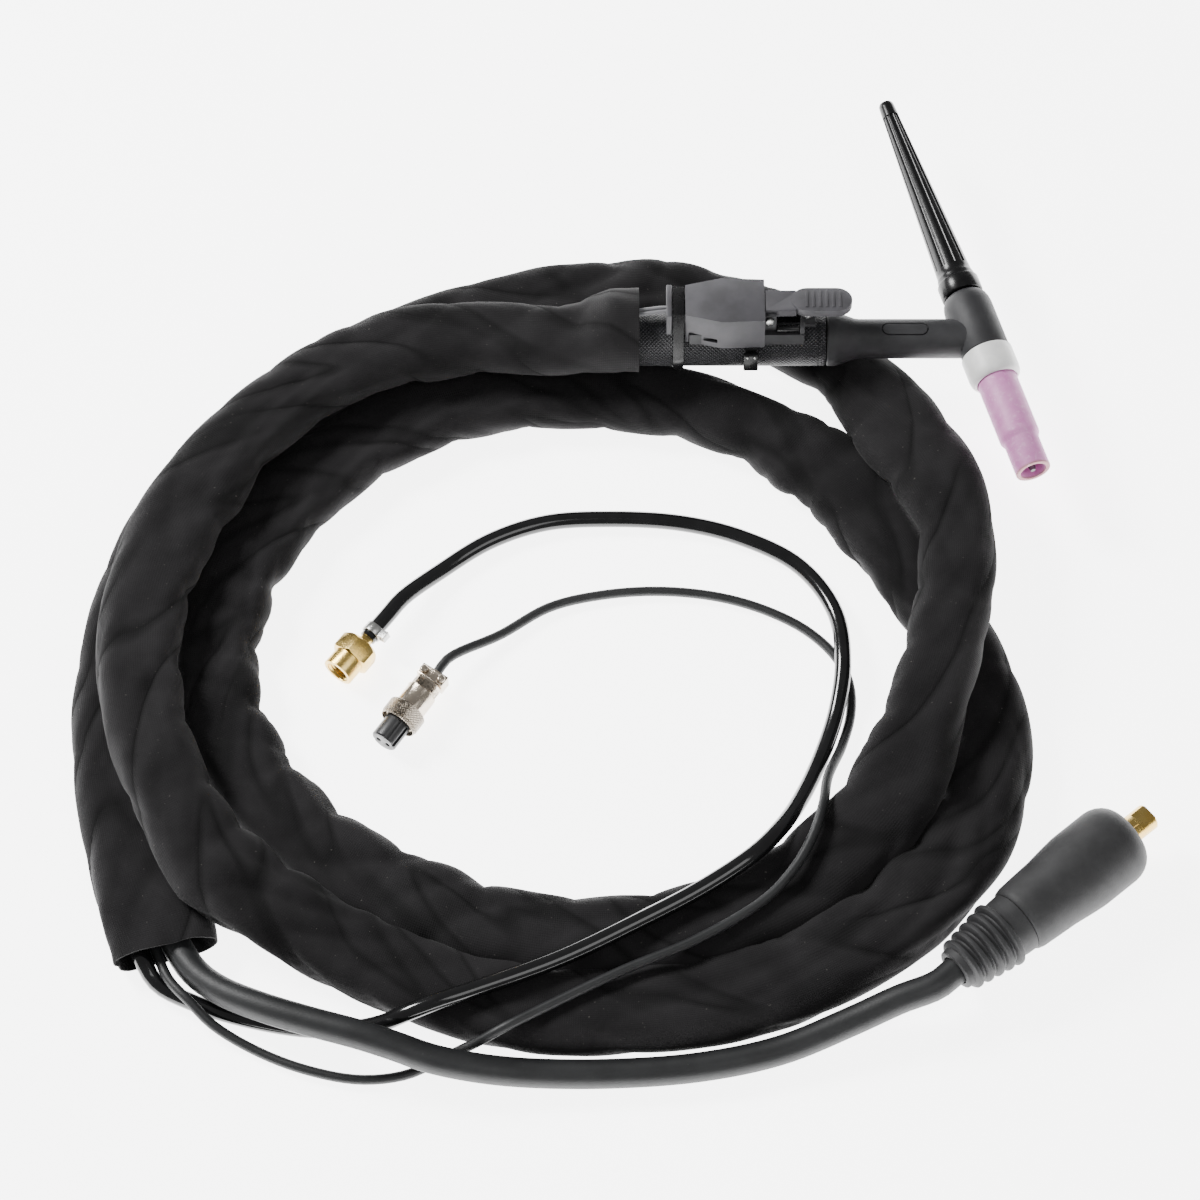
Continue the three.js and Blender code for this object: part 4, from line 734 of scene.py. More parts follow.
def laid_curve(points: Points, step_mm: float) -> np.ndarray:
    """Runs a smooth curve through a route.

    Args:
        points: The route, in metres.
        step_mm: The spacing of the points that come back.

    Returns:
        Evenly spaced points, one row each.
    """
    known = np.array(points, dtype=float)
    ends = (2 * known[0] - known[1], 2 * known[-1] - known[-2])
    padded = np.vstack([ends[0], known, ends[1]])
    dense = [known[0]]
    for i in range(1, len(padded) - 2):
        before, start, end, after = padded[i - 1 : i + 3]
        gaps = [math.sqrt(np.linalg.norm(b - a)) for a, b in
                ((before, start), (start, end), (end, after))]
        leave = (start - before) / gaps[0] - (end - before) / (gaps[0] + gaps[1])
        leave = (leave + (end - start) / gaps[1]) * gaps[1]
        arrive = (end - start) / gaps[1] - (after - start) / (gaps[1] + gaps[2])
        arrive = (arrive + (after - end) / gaps[2]) * gaps[1]
        for t in np.linspace(0, 1, 25)[1:]:
            square, cube = t * t, t * t * t
            dense.append(
                (2 * cube - 3 * square + 1) * start + (cube - 2 * square + t) * leave
                + (3 * square - 2 * cube) * end + (cube - square) * arrive
            )
    track = np.array(dense)
    run = np.concatenate([[0], np.cumsum(np.linalg.norm(np.diff(track, axis=0), axis=1))])
    count = max(2, int(run[-1] / (step_mm * MM)))
    wanted = np.linspace(0, run[-1], count)
    return np.column_stack([np.interp(wanted, run, track[:, k]) for k in range(3)])


def sideways(track: np.ndarray) -> tuple[np.ndarray, np.ndarray]:
    """Finds the level frame along a track.

    Args:
        track: Its points.

    Returns:
        The direction of travel and the level direction to its right, at each point.
    """
    travel = np.gradient(track, axis=0)
    travel /= np.linalg.norm(travel, axis=1)[:, None]
    right = np.cross(travel, (0, 0, 1))
    right /= np.linalg.norm(right, axis=1)[:, None]
    return travel, right


def hidden_route(lane_mm: float) -> Points:
    """Moves the cover's route sideways to a cable's own lane inside it.

    Args:
        lane_mm: How far to the right of travel.

    Returns:
        The lane's points, from the third route point on.
    """
    track = laid_curve(SLEEVE_ROUTE, 2.0)
    _, right = sideways(track)
    lane = []
    for point in SLEEVE_ROUTE[2:]:
        nearest = int(np.argmin(np.linalg.norm(track - np.array(point), axis=1)))
        moved = np.array(point) + right[nearest] * lane_mm * MM
        lane.append(tuple(float(c) for c in moved))
    return lane


def behind(place: Place, distances_mm: list[float]) -> Points:
    """Gives points behind a plug on its axis.

    Args:
        place: The plug's frame, with X out of its face.
        distances_mm: The distances behind its face.

    Returns:
        The points.
    """
    spots = [place.origin - place.along.normalized() * d * MM for d in distances_mm]
    return [tuple(spot) for spot in spots]


# ------------------------------------------------------------------ torch head


@dataclass
class Head:
    """The head, its nozzle, insulator ring, long cap and electrode."""

    place: Place
    head_radius: float = 10.9
    cap_flutes: int = 10

    def build(self) -> None:
        """Builds the head's pieces."""
        self.shell()
        self.ring()
        self.nozzle()
        self.cap()

    def shell(self) -> None:
        """Builds the moulded head round the nozzle axis."""
        r = self.head_radius
        profile = [
            (-8.2, 6.8), (-8.2, r - 0.9), (-7.9, r - 0.3), (-7.3, r), (15.4, r), (17.8, r - 0.3),
            (19.8, r - 0.9), (21.3, r - 1.7), (22.2, r - 2.9), (22.3, r - 3.4), (22.3, 6.8),
        ]
        finished(spun("head_shell", profile, self.place), Finishes.moulding)

    def ring(self) -> None:
        """Builds the white insulator ring."""
        profile = [
            (-8.5, 7.2), (-8.5, 11.3), (-8.8, 11.6), (-18.6, 11.6), (-20.4, 11.4), (-21.6, 10.9),
            (-22.4, 10.2), (-22.8, 9.6), (-22.8, 9.3), (-21.5, 9.3), (-21.5, 6.2), (-11.1, 6.2),
            (-11.1, 7.2), (-8.5, 7.2),
        ]
        piece = spun("insulator_ring_turned", profile, self.place, bevel_mm=0.15)
        finished(piece, Finishes.ptfe, replaces=("insulator_ring",))

    def nozzle(self) -> None:
        """Builds the pink ceramic nozzle, its X running back from the mouth."""
        mouth = Vector(mount("nozzle_mouth")["pos_m"])
        back = -Vector(mount("nozzle_mouth")["axis"])
        place = Place(mouth - Vector((0, 0, 6.75 * MM)), back)
        profile = [
            (0.5, 5.7), (0.15, 5.85), (0, 6.15), (0, 7.3), (0.15, 7.65), (0.5, 7.8), (15.1, 7.8),
            (15.9, 8.0), (17.3, 8.75), (18.1, 8.95), (19, 9), (47.4, 9), (47.9, 8.85),
            (48.2, 8.4), (48.2, 6.2), (36.2, 6.2), (35.2, 5.7), (0.5, 5.7),
        ]
        piece = spun("ceramic_nozzle", profile, place)
        finished(piece, Finishes.alumina, "nozzle", ("alumina_nozzle",))

    def cap(self) -> None:
        """Builds the long tapered cap with its ribbed collar and flutes."""
        profile = [
            (22.6, 5.0), (22.6, 8.7), (22.9, 9.2), (23.4, 9.4), (29.6, 9.4), (30.1, 9.2),
            (30.5, 8.6), (31.0, 8.4), (32.4, 8.4), (33.1, 8.25), (33.8, 7.95), (35.4, 7.85),
            (127.2, 3.55), (128.6, 3.4), (129.5, 2.9), (129.9, 2.2), (130.0, 0.0),
        ]
        piece = spun("back_cap_turned", profile, self.place, 80)
        start, end, high, low, radius = 37.0, 122.0, 7.78, 3.8, 1.5
        slope = math.atan((high - low) / (end - start))
        tools = []
        for i in range(self.cap_flutes):
            turn = Matrix.Rotation(i * math.tau / self.cap_flutes, 4, "X")
            bpy.ops.mesh.primitive_cylinder_add(
                vertices=20, radius=radius * MM, depth=(end - start) * MM
            )
            tool = bpy.context.object
            middle = Vector(((start + end) / 2 * MM, 0, ((high + low) / 2 + radius - 0.55) * MM))
            lay = Matrix.Rotation(math.pi / 2 + slope, 4, "Y")
            tool.matrix_world = self.place.matrix() @ turn @ Matrix.Translation(middle) @ lay
            tools.append(tool)
        cut_away(piece, tools)
        smooth(piece, 30)
        finished(piece, Finishes.cap_plastic, "back_cap", ("back_cap",))


@dataclass
class Handle:
    """The neck with its skirt and blank recess, and the knurled handle."""

    place: Place
    length: float = 93.8
    radius: float = 11.9
    neck_radius: float = 8.7
    neck_end: float = 161.8

    def build(self) -> None:
        """Builds the neck and the handle."""
        start, r, n = self.length + 0.3, self.radius, self.neck_radius
        neck = [
            (start, 5.0), (start, r - 0.6), (start + 0.6, r), (start + 3.4, r),
            (start + 5.2, r - 0.4), (start + 10.6, n + 0.9), (start + 12.4, n + 0.25),
            (start + 14.4, n), (self.neck_end - 4, n), (self.neck_end - 4, 5.0), (start, 5.0),
        ]
        shell = spun("neck_shell", neck, self.place, 72)
        cut_away(shell, [self.recess(start + 34.3)])
        smooth(shell, 30)
        even_shading(shell)
        finished(shell, Finishes.moulding, replaces=("head_body",))
        grip = [
            (0, 9.2), (0, r - 0.9), (0.3, r - 0.3), (0.9, r), (2.4, r), (2.7, r - 0.25),
            (3.4, r - 0.25), (3.7, r), (self.length - 3.7, r), (self.length - 3.4, r - 0.25),
            (self.length - 2.7, r - 0.25), (self.length - 2.4, r), (self.length - 0.9, r),
            (self.length - 0.3, r - 0.3), (self.length, r - 0.9), (self.length, 9.2), (0, 9.2),
        ]
        handle = spun("knurled_handle", grip, self.place, 96)
        finished(handle, Finishes.knurled_plastic, replaces=("handle_tube",))

    def slot(self, middle_mm: float, length: float, width: float, sides: int) -> Profile:
        """Gives the outline of a slot on the neck.

        Args:
            middle_mm: The slot's middle along the handle axis.
            length: Its length.
            width: Its width.
            sides: How many facets each end gets.

        Returns:
            Its corners.
        """
        outline = []
        for end in (1, -1):
            for i in range(sides + 1):
                angle = -math.pi / 2 + math.pi * i / sides + (0 if end > 0 else math.pi)
                x = end * (length - width) / 2 + width / 2 * math.cos(angle)
                outline.append((middle_mm + x, width / 2 * math.sin(angle)))
        return outline

    def recess(self, middle_mm: float) -> bpy.types.Object:
        """Makes the tool for the groove round the blank recess.

        Args:
            middle_mm: The slot's middle along the handle axis.

        Returns:
            The tool.
        """
        sides = 14
        loops = [self.slot(middle_mm, 20.6, 6.4, sides), self.slot(middle_mm, 19.4, 5.2, sides)]
        count = len(loops[0])
        floor, roof = self.neck_radius - 1.0, self.neck_radius + 4
        points = [(x * MM, y * MM, z * MM) for z in (floor, roof) for loop in loops for x, y in loop]
        faces = []
        for i in range(count):
            j = (i + 1) % count
            rings = [0, count, 3 * count, 2 * count]
            for first, second in zip(rings, rings[1:] + rings[:1]):
                faces.append([first + i, first + j, second + j, second + i])
        tool = mesh_object("recess_tool", points, [], faces)
        tidy(tool)
        tool.matrix_world = self.place.matrix()
        return tool


@dataclass
class SwitchModule:
    """The finger switch on the handle, from its CAD shapes with rounded edges."""

    # Radius of the steel beads that are painted highlights on the clasp.
    stud_radius: float = 0.55

    def build(self) -> None:
        """Builds the module's pieces."""
        plan = [
            ("switch_base", "switch_saddle", 0.5, Finishes.moulding, "torch"),
            ("switch_cover", "switch_housing", 0.9, Finishes.switch_plastic, "torch"),
            ("switch_end_plate", "switch_cable_plate", 0.6, Finishes.switch_plastic, "torch"),
            ("switch_lever", "switch_thumb_lever", 0.55, Finishes.switch_plastic, "lever"),
            ("rear_strap", "rear_strap_band", 0.35, Finishes.cap_plastic, "torch"),
            ("front_strap", "front_strap_band", 0.35, Finishes.cap_plastic, "torch"),
            ("front_strap_clasp", "front_clasp", 0.5, Finishes.cap_plastic, "torch"),
            ("lever_pivot_pin", "lever_pin", 0.2, Finishes.steel, "torch"),
            ("lever_stop_bar", "stop_bar", 0.2, Finishes.cap_plastic, "torch"),
        ]
        for node, title, bevel_mm, finish, body in plan:
            finished(cad_copy(node, title, bevel_mm), finish, body, (node,))
        self.studs()

    def studs(self) -> None:
        """Builds two small steel beads on the front clasp, painted highlights that stand in for two
        glints on its glossy plastic.
        """
        low, high = (Vector(corner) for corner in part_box("front_strap_clasp"))
        middle = (low + high) / 2
        # Painted highlights: two bright steel beads stand in for the two glints on the clasp's glossy
        # plastic.
        for i, shift in enumerate((-1.6, 1.6)):
            spot = Vector((middle.x + shift * MM, middle.y - 0.9 * MM, high.z - 0.35 * MM))
            bpy.ops.mesh.primitive_uv_sphere_add(
                segments=20, ring_count=12, radius=self.stud_radius * MM, location=spot
            )
            glint_bead = bpy.context.object
            glint_bead.name = f"clasp_glint_bead_{i + 1}"
            bpy.ops.object.transform_apply(location=True, rotation=True, scale=True)
            smooth(glint_bead)
            finished(glint_bead, Finishes.steel)


# ------------------------------------------------------------------ plugs


@dataclass
class PowerPlug:
    """The rubber-covered power plug and its ribbed boot."""

    place: Place
    length: float = 96.0
    ribs: int = 5

    def build(self) -> None:
        """Builds the plug's pieces."""
        start = -self.length
        boot: Profile = [(start + 6, 6.7), (start, 6.7), (start, 8.4), (start + 0.3, 9.0)]
        for i in range(self.ribs):
            x = start + 3 + i * 5.0
            root = 9.4 + 4.0 * i / self.ribs
            boot += [
                (x - 0.1, root), (x + 0.4, root + 1.7), (x + 0.9, root + 2.25),
                (x + 1.7, root + 2.4), (x + 2.5, root + 2.25), (x + 3.1, root + 1.6),
                (x + 3.6, root + 0.7), (x + 4.3, root + 0.45),
            ]
        boot += [(start + 30, 13.4), (start + 34, 13.6), (start + 34, 8.0)]
        finished(spun("plug_boot_ribbed", boot, self.place), Finishes.rubber, "torch", ("plug_boot",))
        rear = start + 34.3
        housing = [
            (rear, 8.7), (rear, 13.6), (rear + 0.8, 14.4), (rear + 3, 15.0), (rear + 10, 15.5),
            (rear + 20, 16.1), (rear + 28, 17.1), (rear + 34, 17.7), (rear + 36, 17.8),
            (-9.4, 17.8), (-7.0, 17.5), (-4.6, 16.7), (-2.6, 15.5), (-1.2, 14.2), (-0.4, 13.1),
            (0, 12.0), (0, 6.6), (-0.4, 6.2), (-3, 6.2),
        ]
        body = spun("plug_housing_moulded", housing, self.place, 80)
        finished(body, Finishes.rubber, "torch", ("plug_housing",))
        finished(cad_copy("plug_pin", "plug_pin_turned", 0.35), Finishes.brass, "torch", ("plug_pin",))


@dataclass
class GasFitting:
    """The gas nut with its thread, the nipple and the hose clamp."""

    place: Place

    def build(self) -> None:
        """Builds the fitting's pieces."""
        nut = cad_copy("gas_nut", "gas_nut_turned", 0.25, 30)
        finished(nut, Finishes.brass, "gas_nut", ("gas_nut",))
        thread: Profile = [(-9.2, 5.36)]
        for i in range(7):
            x = -9.0 + i * 1.2
            thread += [(x, 5.25), (x + 0.6, 4.7), (x + 1.2, 5.25)]
        thread += [(-0.4, 5.36), (-9.2, 5.36)]
        finished(spun("gas_nut_thread", thread, self.place, 48), Finishes.brass, "gas_nut")
        nipple = cad_copy("gas_nipple", "gas_nipple_turned", 0.15, 40)
        finished(nipple, Finishes.brass, "torch", ("gas_nipple",))
        clamp = cad_copy("hose_clamp", "hose_ear_clamp", 0.12, 40)
        finished(clamp, Finishes.steel, "torch", ("hose_clamp",))


@dataclass
class ControlPlug:
    """The small control plug with its knurled ring."""

    place: Place

    def build(self) -> None:
        """Builds the plug's pieces."""
        ring = [
            (-18.6, 7.3), (-18.6, 8.0), (-18.3, 8.5), (-17.9, 8.8), (-12.2, 8.8), (-11.9, 8.4),
            (-10.7, 8.3), (-10.4, 8.0), (-10.4, 7.9), (-15.6, 7.9), (-15.6, 7.3), (-18.6, 7.3),
        ]
        piece = spun("coupling_ring_knurled", ring, self.place)
        finished(piece, Finishes.knurled_nickel, "coupling_ring", ("control_coupling_ring",))
        plan = [
            ("control_insert", "control_insert_moulded", 0.2, Finishes.insert_plastic),
            ("control_plug_shell", "control_shell", 0.2, Finishes.nickel),
            ("control_cable_saddle", "control_saddle", 0.35, Finishes.nickel),
            ("control_saddle_screw_left", "saddle_screw_left", 0.12, Finishes.nickel),
            ("control_saddle_screw_right", "saddle_screw_right", 0.12, Finishes.nickel),
        ]
        for node, title, bevel_mm, finish in plan:
            finished(cad_copy(node, title, bevel_mm, 40), finish, "torch", (node,))


# ------------------------------------------------------------------ cables


class Cable:
    """One round cable, from its hidden start in the handle to its plug."""

    def __init__(self, title: str, node: str, radius_mm: float, finish: Finish) -> None:
        """Names the cable.

        Args:
            title: The object's name.
            node: The CAD node that it replaces.
            radius_mm: Its radius.
            finish: Its finish.
        """
        self.title = title
        self.node = node
        self.radius = radius_mm * MM
        self.finish = finish

    def build(self, points: Points, facts: dict) -> bpy.types.Object:
        """Lays the cable as a round curve.

        Args:
            points: Its whole route, in metres.
            facts: Its far end, stiffness, lay and the pieces on it; not used.

        Returns:
            The cable.
        """
        track = laid_curve(points, 4.0)
        curve = bpy.data.curves.new(self.title, "CURVE")
        curve.dimensions = "3D"
        curve.bevel_depth = self.radius
        curve.bevel_resolution = 5
        curve.use_fill_caps = True
        spline = curve.splines.new("POLY")
        spline.points.add(len(track) - 1)
        for spot, point in zip(spline.points, track):
            spot.co = (*point, 1.0)
        spline.use_smooth = True
        obj = bpy.data.objects.new(self.title, curve)
        bpy.context.scene.collection.objects.link(obj)
        finished(obj, self.finish, "torch", (self.node,))
        return obj


@dataclass
class CableCover:
    """The woven cover, gathered round the cables and open at both ends.

    Sizes are in millimetres.
    """

    width: float = 33.0
    height: float = 18.4
    step: float = 3.2
    round_count: int = 44
    cloth: float = 0.7
    cuff_half: tuple[float, float] = (19.2, 17.2)
    cuff_shift: tuple[float, float] = (2.5, 3.2)
    cuff_reach: float = 24.0
    map_girth: float = 87.0
    other_strand: float = 100.0  # this far along the cover counts as another strand
    abreast: float = 8.0
    widest_gap: float = 13.0
    gap_overlap: float = 2.6
    most_spread: float = 7.0
    under: float = 33.0
    higher: float = 5.0
    deepest: float = -1.9

    def noise(self, along: np.ndarray, around: np.ndarray, long_mm: float, bands: int,
              seed: int) -> np.ndarray:
        """Makes smooth random relief that closes round the cover.

        Args:
            along: Distance along, in millimetres.
            around: Turn round the section, 0 to 1.
            long_mm: The size of its lumps along the cover.
            bands: How many lumps go round it.
            seed: Which relief.

        Returns:
            A height from -1 to 1 at each place.
        """
        rows = int(along.max() / long_mm) + 4
        grid = np.random.default_rng(SEED + seed).uniform(-1, 1, (rows, bands))
        y, x = along / long_mm, around * bands
        row, column = np.floor(y).astype(int), np.floor(x).astype(int)
        fy, fx = y - row, x - column
        fy, fx = fy * fy * (3 - 2 * fy), fx * fx * (3 - 2 * fx)
        left, right = column % bands, (column + 1) % bands
        low = grid[row, left] * (1 - fx) + grid[row, right] * fx
        high = grid[row + 1, left] * (1 - fx) + grid[row + 1, right] * fx
        return low * (1 - fy) + high * fy

    def section(self, share: np.ndarray) -> tuple[np.ndarray, np.ndarray, np.ndarray, np.ndarray]:
        """Gives the flat-sided section and the way its surface faces.

        Args:
            share: Turn round the section, 0 to 1.

        Returns:
            Place across and up, and the normal across and up.
        """
        radius = self.height / 2
        flat = self.width - self.height
        total = 2 * flat + math.tau * radius
        run = share * total
        across, up = np.zeros_like(run), np.zeros_like(run)
        out_x, out_y = np.zeros_like(run), np.zeros_like(run)
        half = math.pi * radius
        pieces = [
            (0, half, 1), (half, half + flat, 0),
            (half + flat, 2 * half + flat, -1), (2 * half + flat, total + 1, 0),
        ]
        for index, (start, end, side) in enumerate(pieces):
            here = (run >= start) & (run < end)
            local = run[here] - start
            if side:
                angle = local / radius + (-math.pi / 2 if side > 0 else math.pi / 2)
                across[here] = side * flat / 2 + radius * np.cos(angle)
                up[here] = radius * np.sin(angle)
                out_x[here], out_y[here] = np.cos(angle), np.sin(angle)
            else:
                facing = 1 if index == 1 else -1
                across[here] = facing * (flat / 2 - local)
                up[here] = facing * radius
                out_y[here] = facing
        return across, up, out_x, out_y

    def relief(self, along: np.ndarray, around: np.ndarray, inner: np.ndarray,
               bend: np.ndarray, flatness: np.ndarray, free: np.ndarray) -> np.ndarray:
        """Makes the gathers, folds and creases.

        Args:
            along: Distance along, in millimetres.
            around: Turn round the section, 0 to 1.
            inner: How far each place faces the inside of the bend, 0 to 1.
            bend: How sharply the cover bends there, 0 to 1.
            flatness: How far each place faces up or down, 0 to 1.
            free: Where nothing lies on the cover, 0 to 1.

        Returns:
            How far the cloth stands out, in millimetres.
        """
        drift = 14 * self.noise(along, np.zeros_like(around), 90, 4, 1)
        drift += 5 * self.noise(along, around, 70, 3, 8)
        scallop = np.abs(np.sin(math.pi * (along + drift) / 37)) ** 0.6
        slant = along / 52 + 0.9 * np.sin(math.tau * around) + 1.1 * self.noise(
            along, around, 75, 3, 2)
        valley = np.abs(np.sin(math.pi * slant)) ** 0.55
        pinch = np.abs(np.sin(math.pi * (along / 23 - 1.6 * around + 0.9 * self.noise(
            along, around, 48, 4, 7)))) ** 0.5
        gate = np.clip(1.6 * self.noise(along, around, 80, 3, 9), 0, 1)
        lumps = self.noise(along, around, 42, 4, 3)
        creases = self.noise(along, around, 13, 9, 4)
        height = 5.0 * (scallop - 0.66) * inner**1.2 * (0.4 + 0.6 * bend)
        height += 2.6 * (valley - 0.78) * (1 - 0.55 * inner)
        height += 1.8 * (pinch - 0.8) * gate
        height += 0.9 * lumps + 0.35 * creases
        roof = np.where(flatness > 0.5, 0.5 + 1.7 * free, 2.4)
        return np.clip(height * (0.6 + 0.5 * free), self.deepest, roof)

    def neighbours(self, track: np.ndarray, right: np.ndarray) -> tuple[np.ndarray, np.ndarray]:
        """Finds how far the cloth can spread to each side, and where nothing lies on it.

        Args:
            track: The cover's middle.
            right: The level direction to its right.

        Returns:
            The extra width to the left and right of each row, in millimetres, and how
            free each row's top and bottom are, 0 to 1.
        """
        rows = len(track)
        seen = track[:, :2] + np.outer(track[:, 2], (0.0, math.tan(math.radians(VIEW_TILT))))
        index = np.arange(rows)
        apart = np.abs(index[:, None] - index[None, :]) * self.step > self.other_strand
        shift = seen[None, :, :] - seen[:, None, :]
        aside = (shift * right[:, None, :2]).sum(axis=2) / MM
        ahead = np.sqrt(np.maximum((shift**2).sum(axis=2) / MM**2 - aside**2, 0))
        beside = apart & (ahead < self.abreast)
        spread = np.zeros((rows, 2))
        for column, sign in enumerate((-1, 1)):
            gap = np.where(beside & (aside * sign > 0), aside * sign, 999).min(axis=1) - self.width
            filled = np.clip(gap / 2 + self.gap_overlap, 0, self.most_spread)
            fill = np.where((gap > -2) & (gap < self.widest_gap), filled, 0)
            spread[:, column] = np.convolve(fill, np.ones(9) / 9, "same")
        _, side, height = SLEEVE_ROUTE[0]
        grip = [(x, side, height) for x in np.linspace(0.01, 0.2, 30)]
        others = [laid_curve(route, 6.0) for route in (POWER_ROUTE, HOSE_ROUTE, CONTROL_ROUTE)]
        over = np.vstack([track, *others, grip])
        near = np.linalg.norm(over[None, :, :2] - track[:, None, :2], axis=2) < self.under * MM
        near &= np.abs(over[None, :, 2] - track[:, None, 2]) > self.higher * MM
        near[:, :rows] &= apart
        free = 1.0 - near.any(axis=1)
        return spread, np.convolve(free, np.ones(11) / 11, "same")

    def build(self, neighbours: tuple[str, ...]) -> bpy.types.Object:
        """Builds the cover.

        Args:
            neighbours: What it rests on or holds; not used.

        Returns:
            The cover.
        """
        start = np.array(SLEEVE_ROUTE[0])
        lead = [tuple(start + np.array((d * MM, 0, 0))) for d in (self.cuff_reach, 12.0)]
        track = laid_curve(lead + SLEEVE_ROUTE, self.step)
        travel, right = sideways(track)
        up = np.cross(right, travel)
        turn = np.cross(travel[:-1], travel[1:])[:, 2]
        turn = np.convolve(np.append(turn, turn[-1]), np.ones(15) / 15, "same")
        bend = np.clip(np.abs(turn) / 0.035, 0, 1)
        rows = len(track)
        share = np.arange(self.round_count) / self.round_count
        across, high, out_x, out_y = self.section(share)
        along = np.arange(rows)[:, None] * self.step + np.zeros(self.round_count)
        around = np.zeros((rows, 1)) + share
        side = np.sign(turn)[:, None]
        inner = np.clip(0.5 - 0.5 * side * out_x, 0, 1)
        spread, free = self.neighbours(track, right)
        stand = self.relief(along, around, inner, bend[:, None], np.abs(out_y),
                            free[:, None])
        cuff = np.clip((self.cuff_reach + 2 - along) / 14, 0, 1) ** 0.8
        angle = np.arctan2(high / self.height, across / self.width)
        wide = self.cuff_half[0] * np.cos(angle) + self.cuff_shift[0]
        tall = self.cuff_half[1] * np.sin(angle) + self.cuff_shift[1]
        widen = np.where(across < 0, spread[:, :1], spread[:, 1:]) * across / (self.width / 2)
        x = (across + np.abs(widen) * np.sign(across)) * (1 - cuff) + wide * cuff
        x += out_x * stand * (1 - 0.4 * cuff)
        z = high * (1 - cuff) + tall * cuff + out_y * stand * (1 - 0.4 * cuff)
        tail = np.clip(1 - (along[-1, 0] - along) / 55, 0, 1)
        x *= 1 + 0.22 * tail
        shift = (0.35 * self.noise(around * 60, around, 7, 9, 6) - 0.12 * x) * tail**4
        spots = (track[:, None, :] + right[:, None, :] * (x * MM)[..., None]
                 + up[:, None, :] * (z * MM)[..., None] + travel[:, None, :] * (shift * MM)[..., None])
        spots[..., 2] = np.maximum(spots[..., 2], 0.15 * MM)
        obj = self.mesh(spots.reshape(-1, 3), rows, along[:, 0])
        return obj

    def mesh(self, points: np.ndarray, rows: int, along: np.ndarray) -> bpy.types.Object:
        """Makes the cover's mesh with its unrolled map and its thickness.

        Args:
            points: The cloth's points, row by row.
            rows: How many rows.
            along: Each row's distance along, in millimetres.

        Returns:
            The cover.
        """
        n = self.round_count
        faces = [
            [r * n + c, r * n + (c + 1) % n, (r + 1) * n + (c + 1) % n, (r + 1) * n + c]
            for r in range(rows - 1) for c in range(n)
        ]
        obj = mesh_object("canvas_cover", points.tolist(), [], faces)
        layer = obj.data.uv_layers.new(name="unrolled")
        pitch = self.map_girth * MM / n
        for index, face in enumerate(obj.data.polygons):
            r, c = divmod(index, n)
            corners = [(c, r), (c + 1, r), (c + 1, r + 1), (c, r + 1)]
            for loop, (u, v) in zip(face.loop_indices, corners):
                layer.data[loop].uv = (u * pitch, along[v] * MM)
        tidy(obj)
        only(obj)
        bpy.ops.object.modifier_add(type="SOLIDIFY")
        thick = obj.modifiers[-1]
        thick.thickness = self.cloth * MM
        thick.offset = -1
        bpy.ops.object.modifier_apply(modifier=thick.name)
        smooth(obj, 60)
        return finished(obj, Finishes.canvas, "torch", ("cable_sleeve",))


@dataclass
class CableSet:
    """The three cables, the switch leads and the cover."""

    torch: Place
    plug: Place
    gas: Place
    control: Place

    def at_torch(self, spots: Points) -> Points:
        """Moves points from the handle's frame, in millimetres, to the row's.

        Args:
            spots: Points in the handle's frame.

        Returns:
            The points in metres.
        """
        return [tuple(self.torch.matrix() @ (Vector(spot) * MM)) for spot in spots]

    def lead_route(self, side: int) -> Points:
        """Gives one switch lead's route, from the control cable to the snap switch.

        Args:
            side: Which wire of the pair, -1 or 1.

        Returns:
            The route in metres.
        """
        spread = side * 1.1
        run = [(-31, 2.1, 0), (-20, 2.2, 4), (-12, 2.3, 6.7), (-6, 2.6, 11), (1, 3, 14.4),
               (12, 3.4, 16.4)]
        points = [(x, y + spread, z) for x, y, z in run]
        turn = Matrix.Rotation(math.radians(-12), 3, "X")
        inside = [(21.8, 18.4), (27.8, 18.6), (35.6, 18.5), (43.6, 17.4), (53.7, 15.1), (58.4, 14.9)]
        points += [tuple(turn @ Vector((x, spread, z))) for x, z in inside]
        return self.at_torch(points)

    def build(self) -> None:
        """Builds the cables and the cover."""
        power = Cable("power_cable_jacket", "power_cable", 6.2, Finishes.cable_rubber)
        route = self.at_torch([(-28, -7.3, 0)]) + hidden_route(-7.6) + POWER_ROUTE
        route += behind(self.plug, [106, 96, 76, 48])
        power.build(route, {
            "far_end": "plug", "stiffness": "stiff", "lay": "coiled",
            "with_pieces": ("plug_boot_ribbed", "plug_housing_moulded", "plug_pin_turned"),
        })
        hose = Cable("gas_hose_tube", "gas_hose", 3.65, Finishes.hose_vinyl)
        route = self.at_torch([(0, 4.2, 0)]) + hidden_route(8.0) + HOSE_ROUTE
        route += behind(self.gas, [44.7, 34.7, 20.7])
        hose.build(route, {
            "far_end": "fitting", "stiffness": "medium", "lay": "coiled",
            "with_pieces": ("gas_nut_turned", "gas_nipple_turned", "hose_ear_clamp"),
        })
        wire = Cable("control_cable_jacket", "control_cable", 2.15, Finishes.cable_rubber)
        route = self.at_torch([(-32, 2, 0)]) + hidden_route(1.45) + CONTROL_ROUTE
        route += behind(self.control, [48.3, 39.3, 31.3])
        wire.build(route, {
            "far_end": "connector", "stiffness": "medium", "lay": "coiled",
            "with_pieces": ("coupling_ring_knurled", "control_insert_moulded", "control_shell",
                            "control_saddle"),
        })
        for name, side in (("inner", -1), ("outer", 1)):
            lead = Cable(f"switch_lead_{name}_wire", f"switch_lead_{name}", 0.9, Finishes.lead_vinyl)
            lead.build(self.lead_route(side), {
                "far_end": "object", "stiffness": "medium", "lay": "loose",
                "with_pieces": ("switch_housing",),
            })
        CableCover().build(("power_cable_jacket", "gas_hose_tube", "control_cable_jacket"))


# ------------------------------------------------------------------ stage


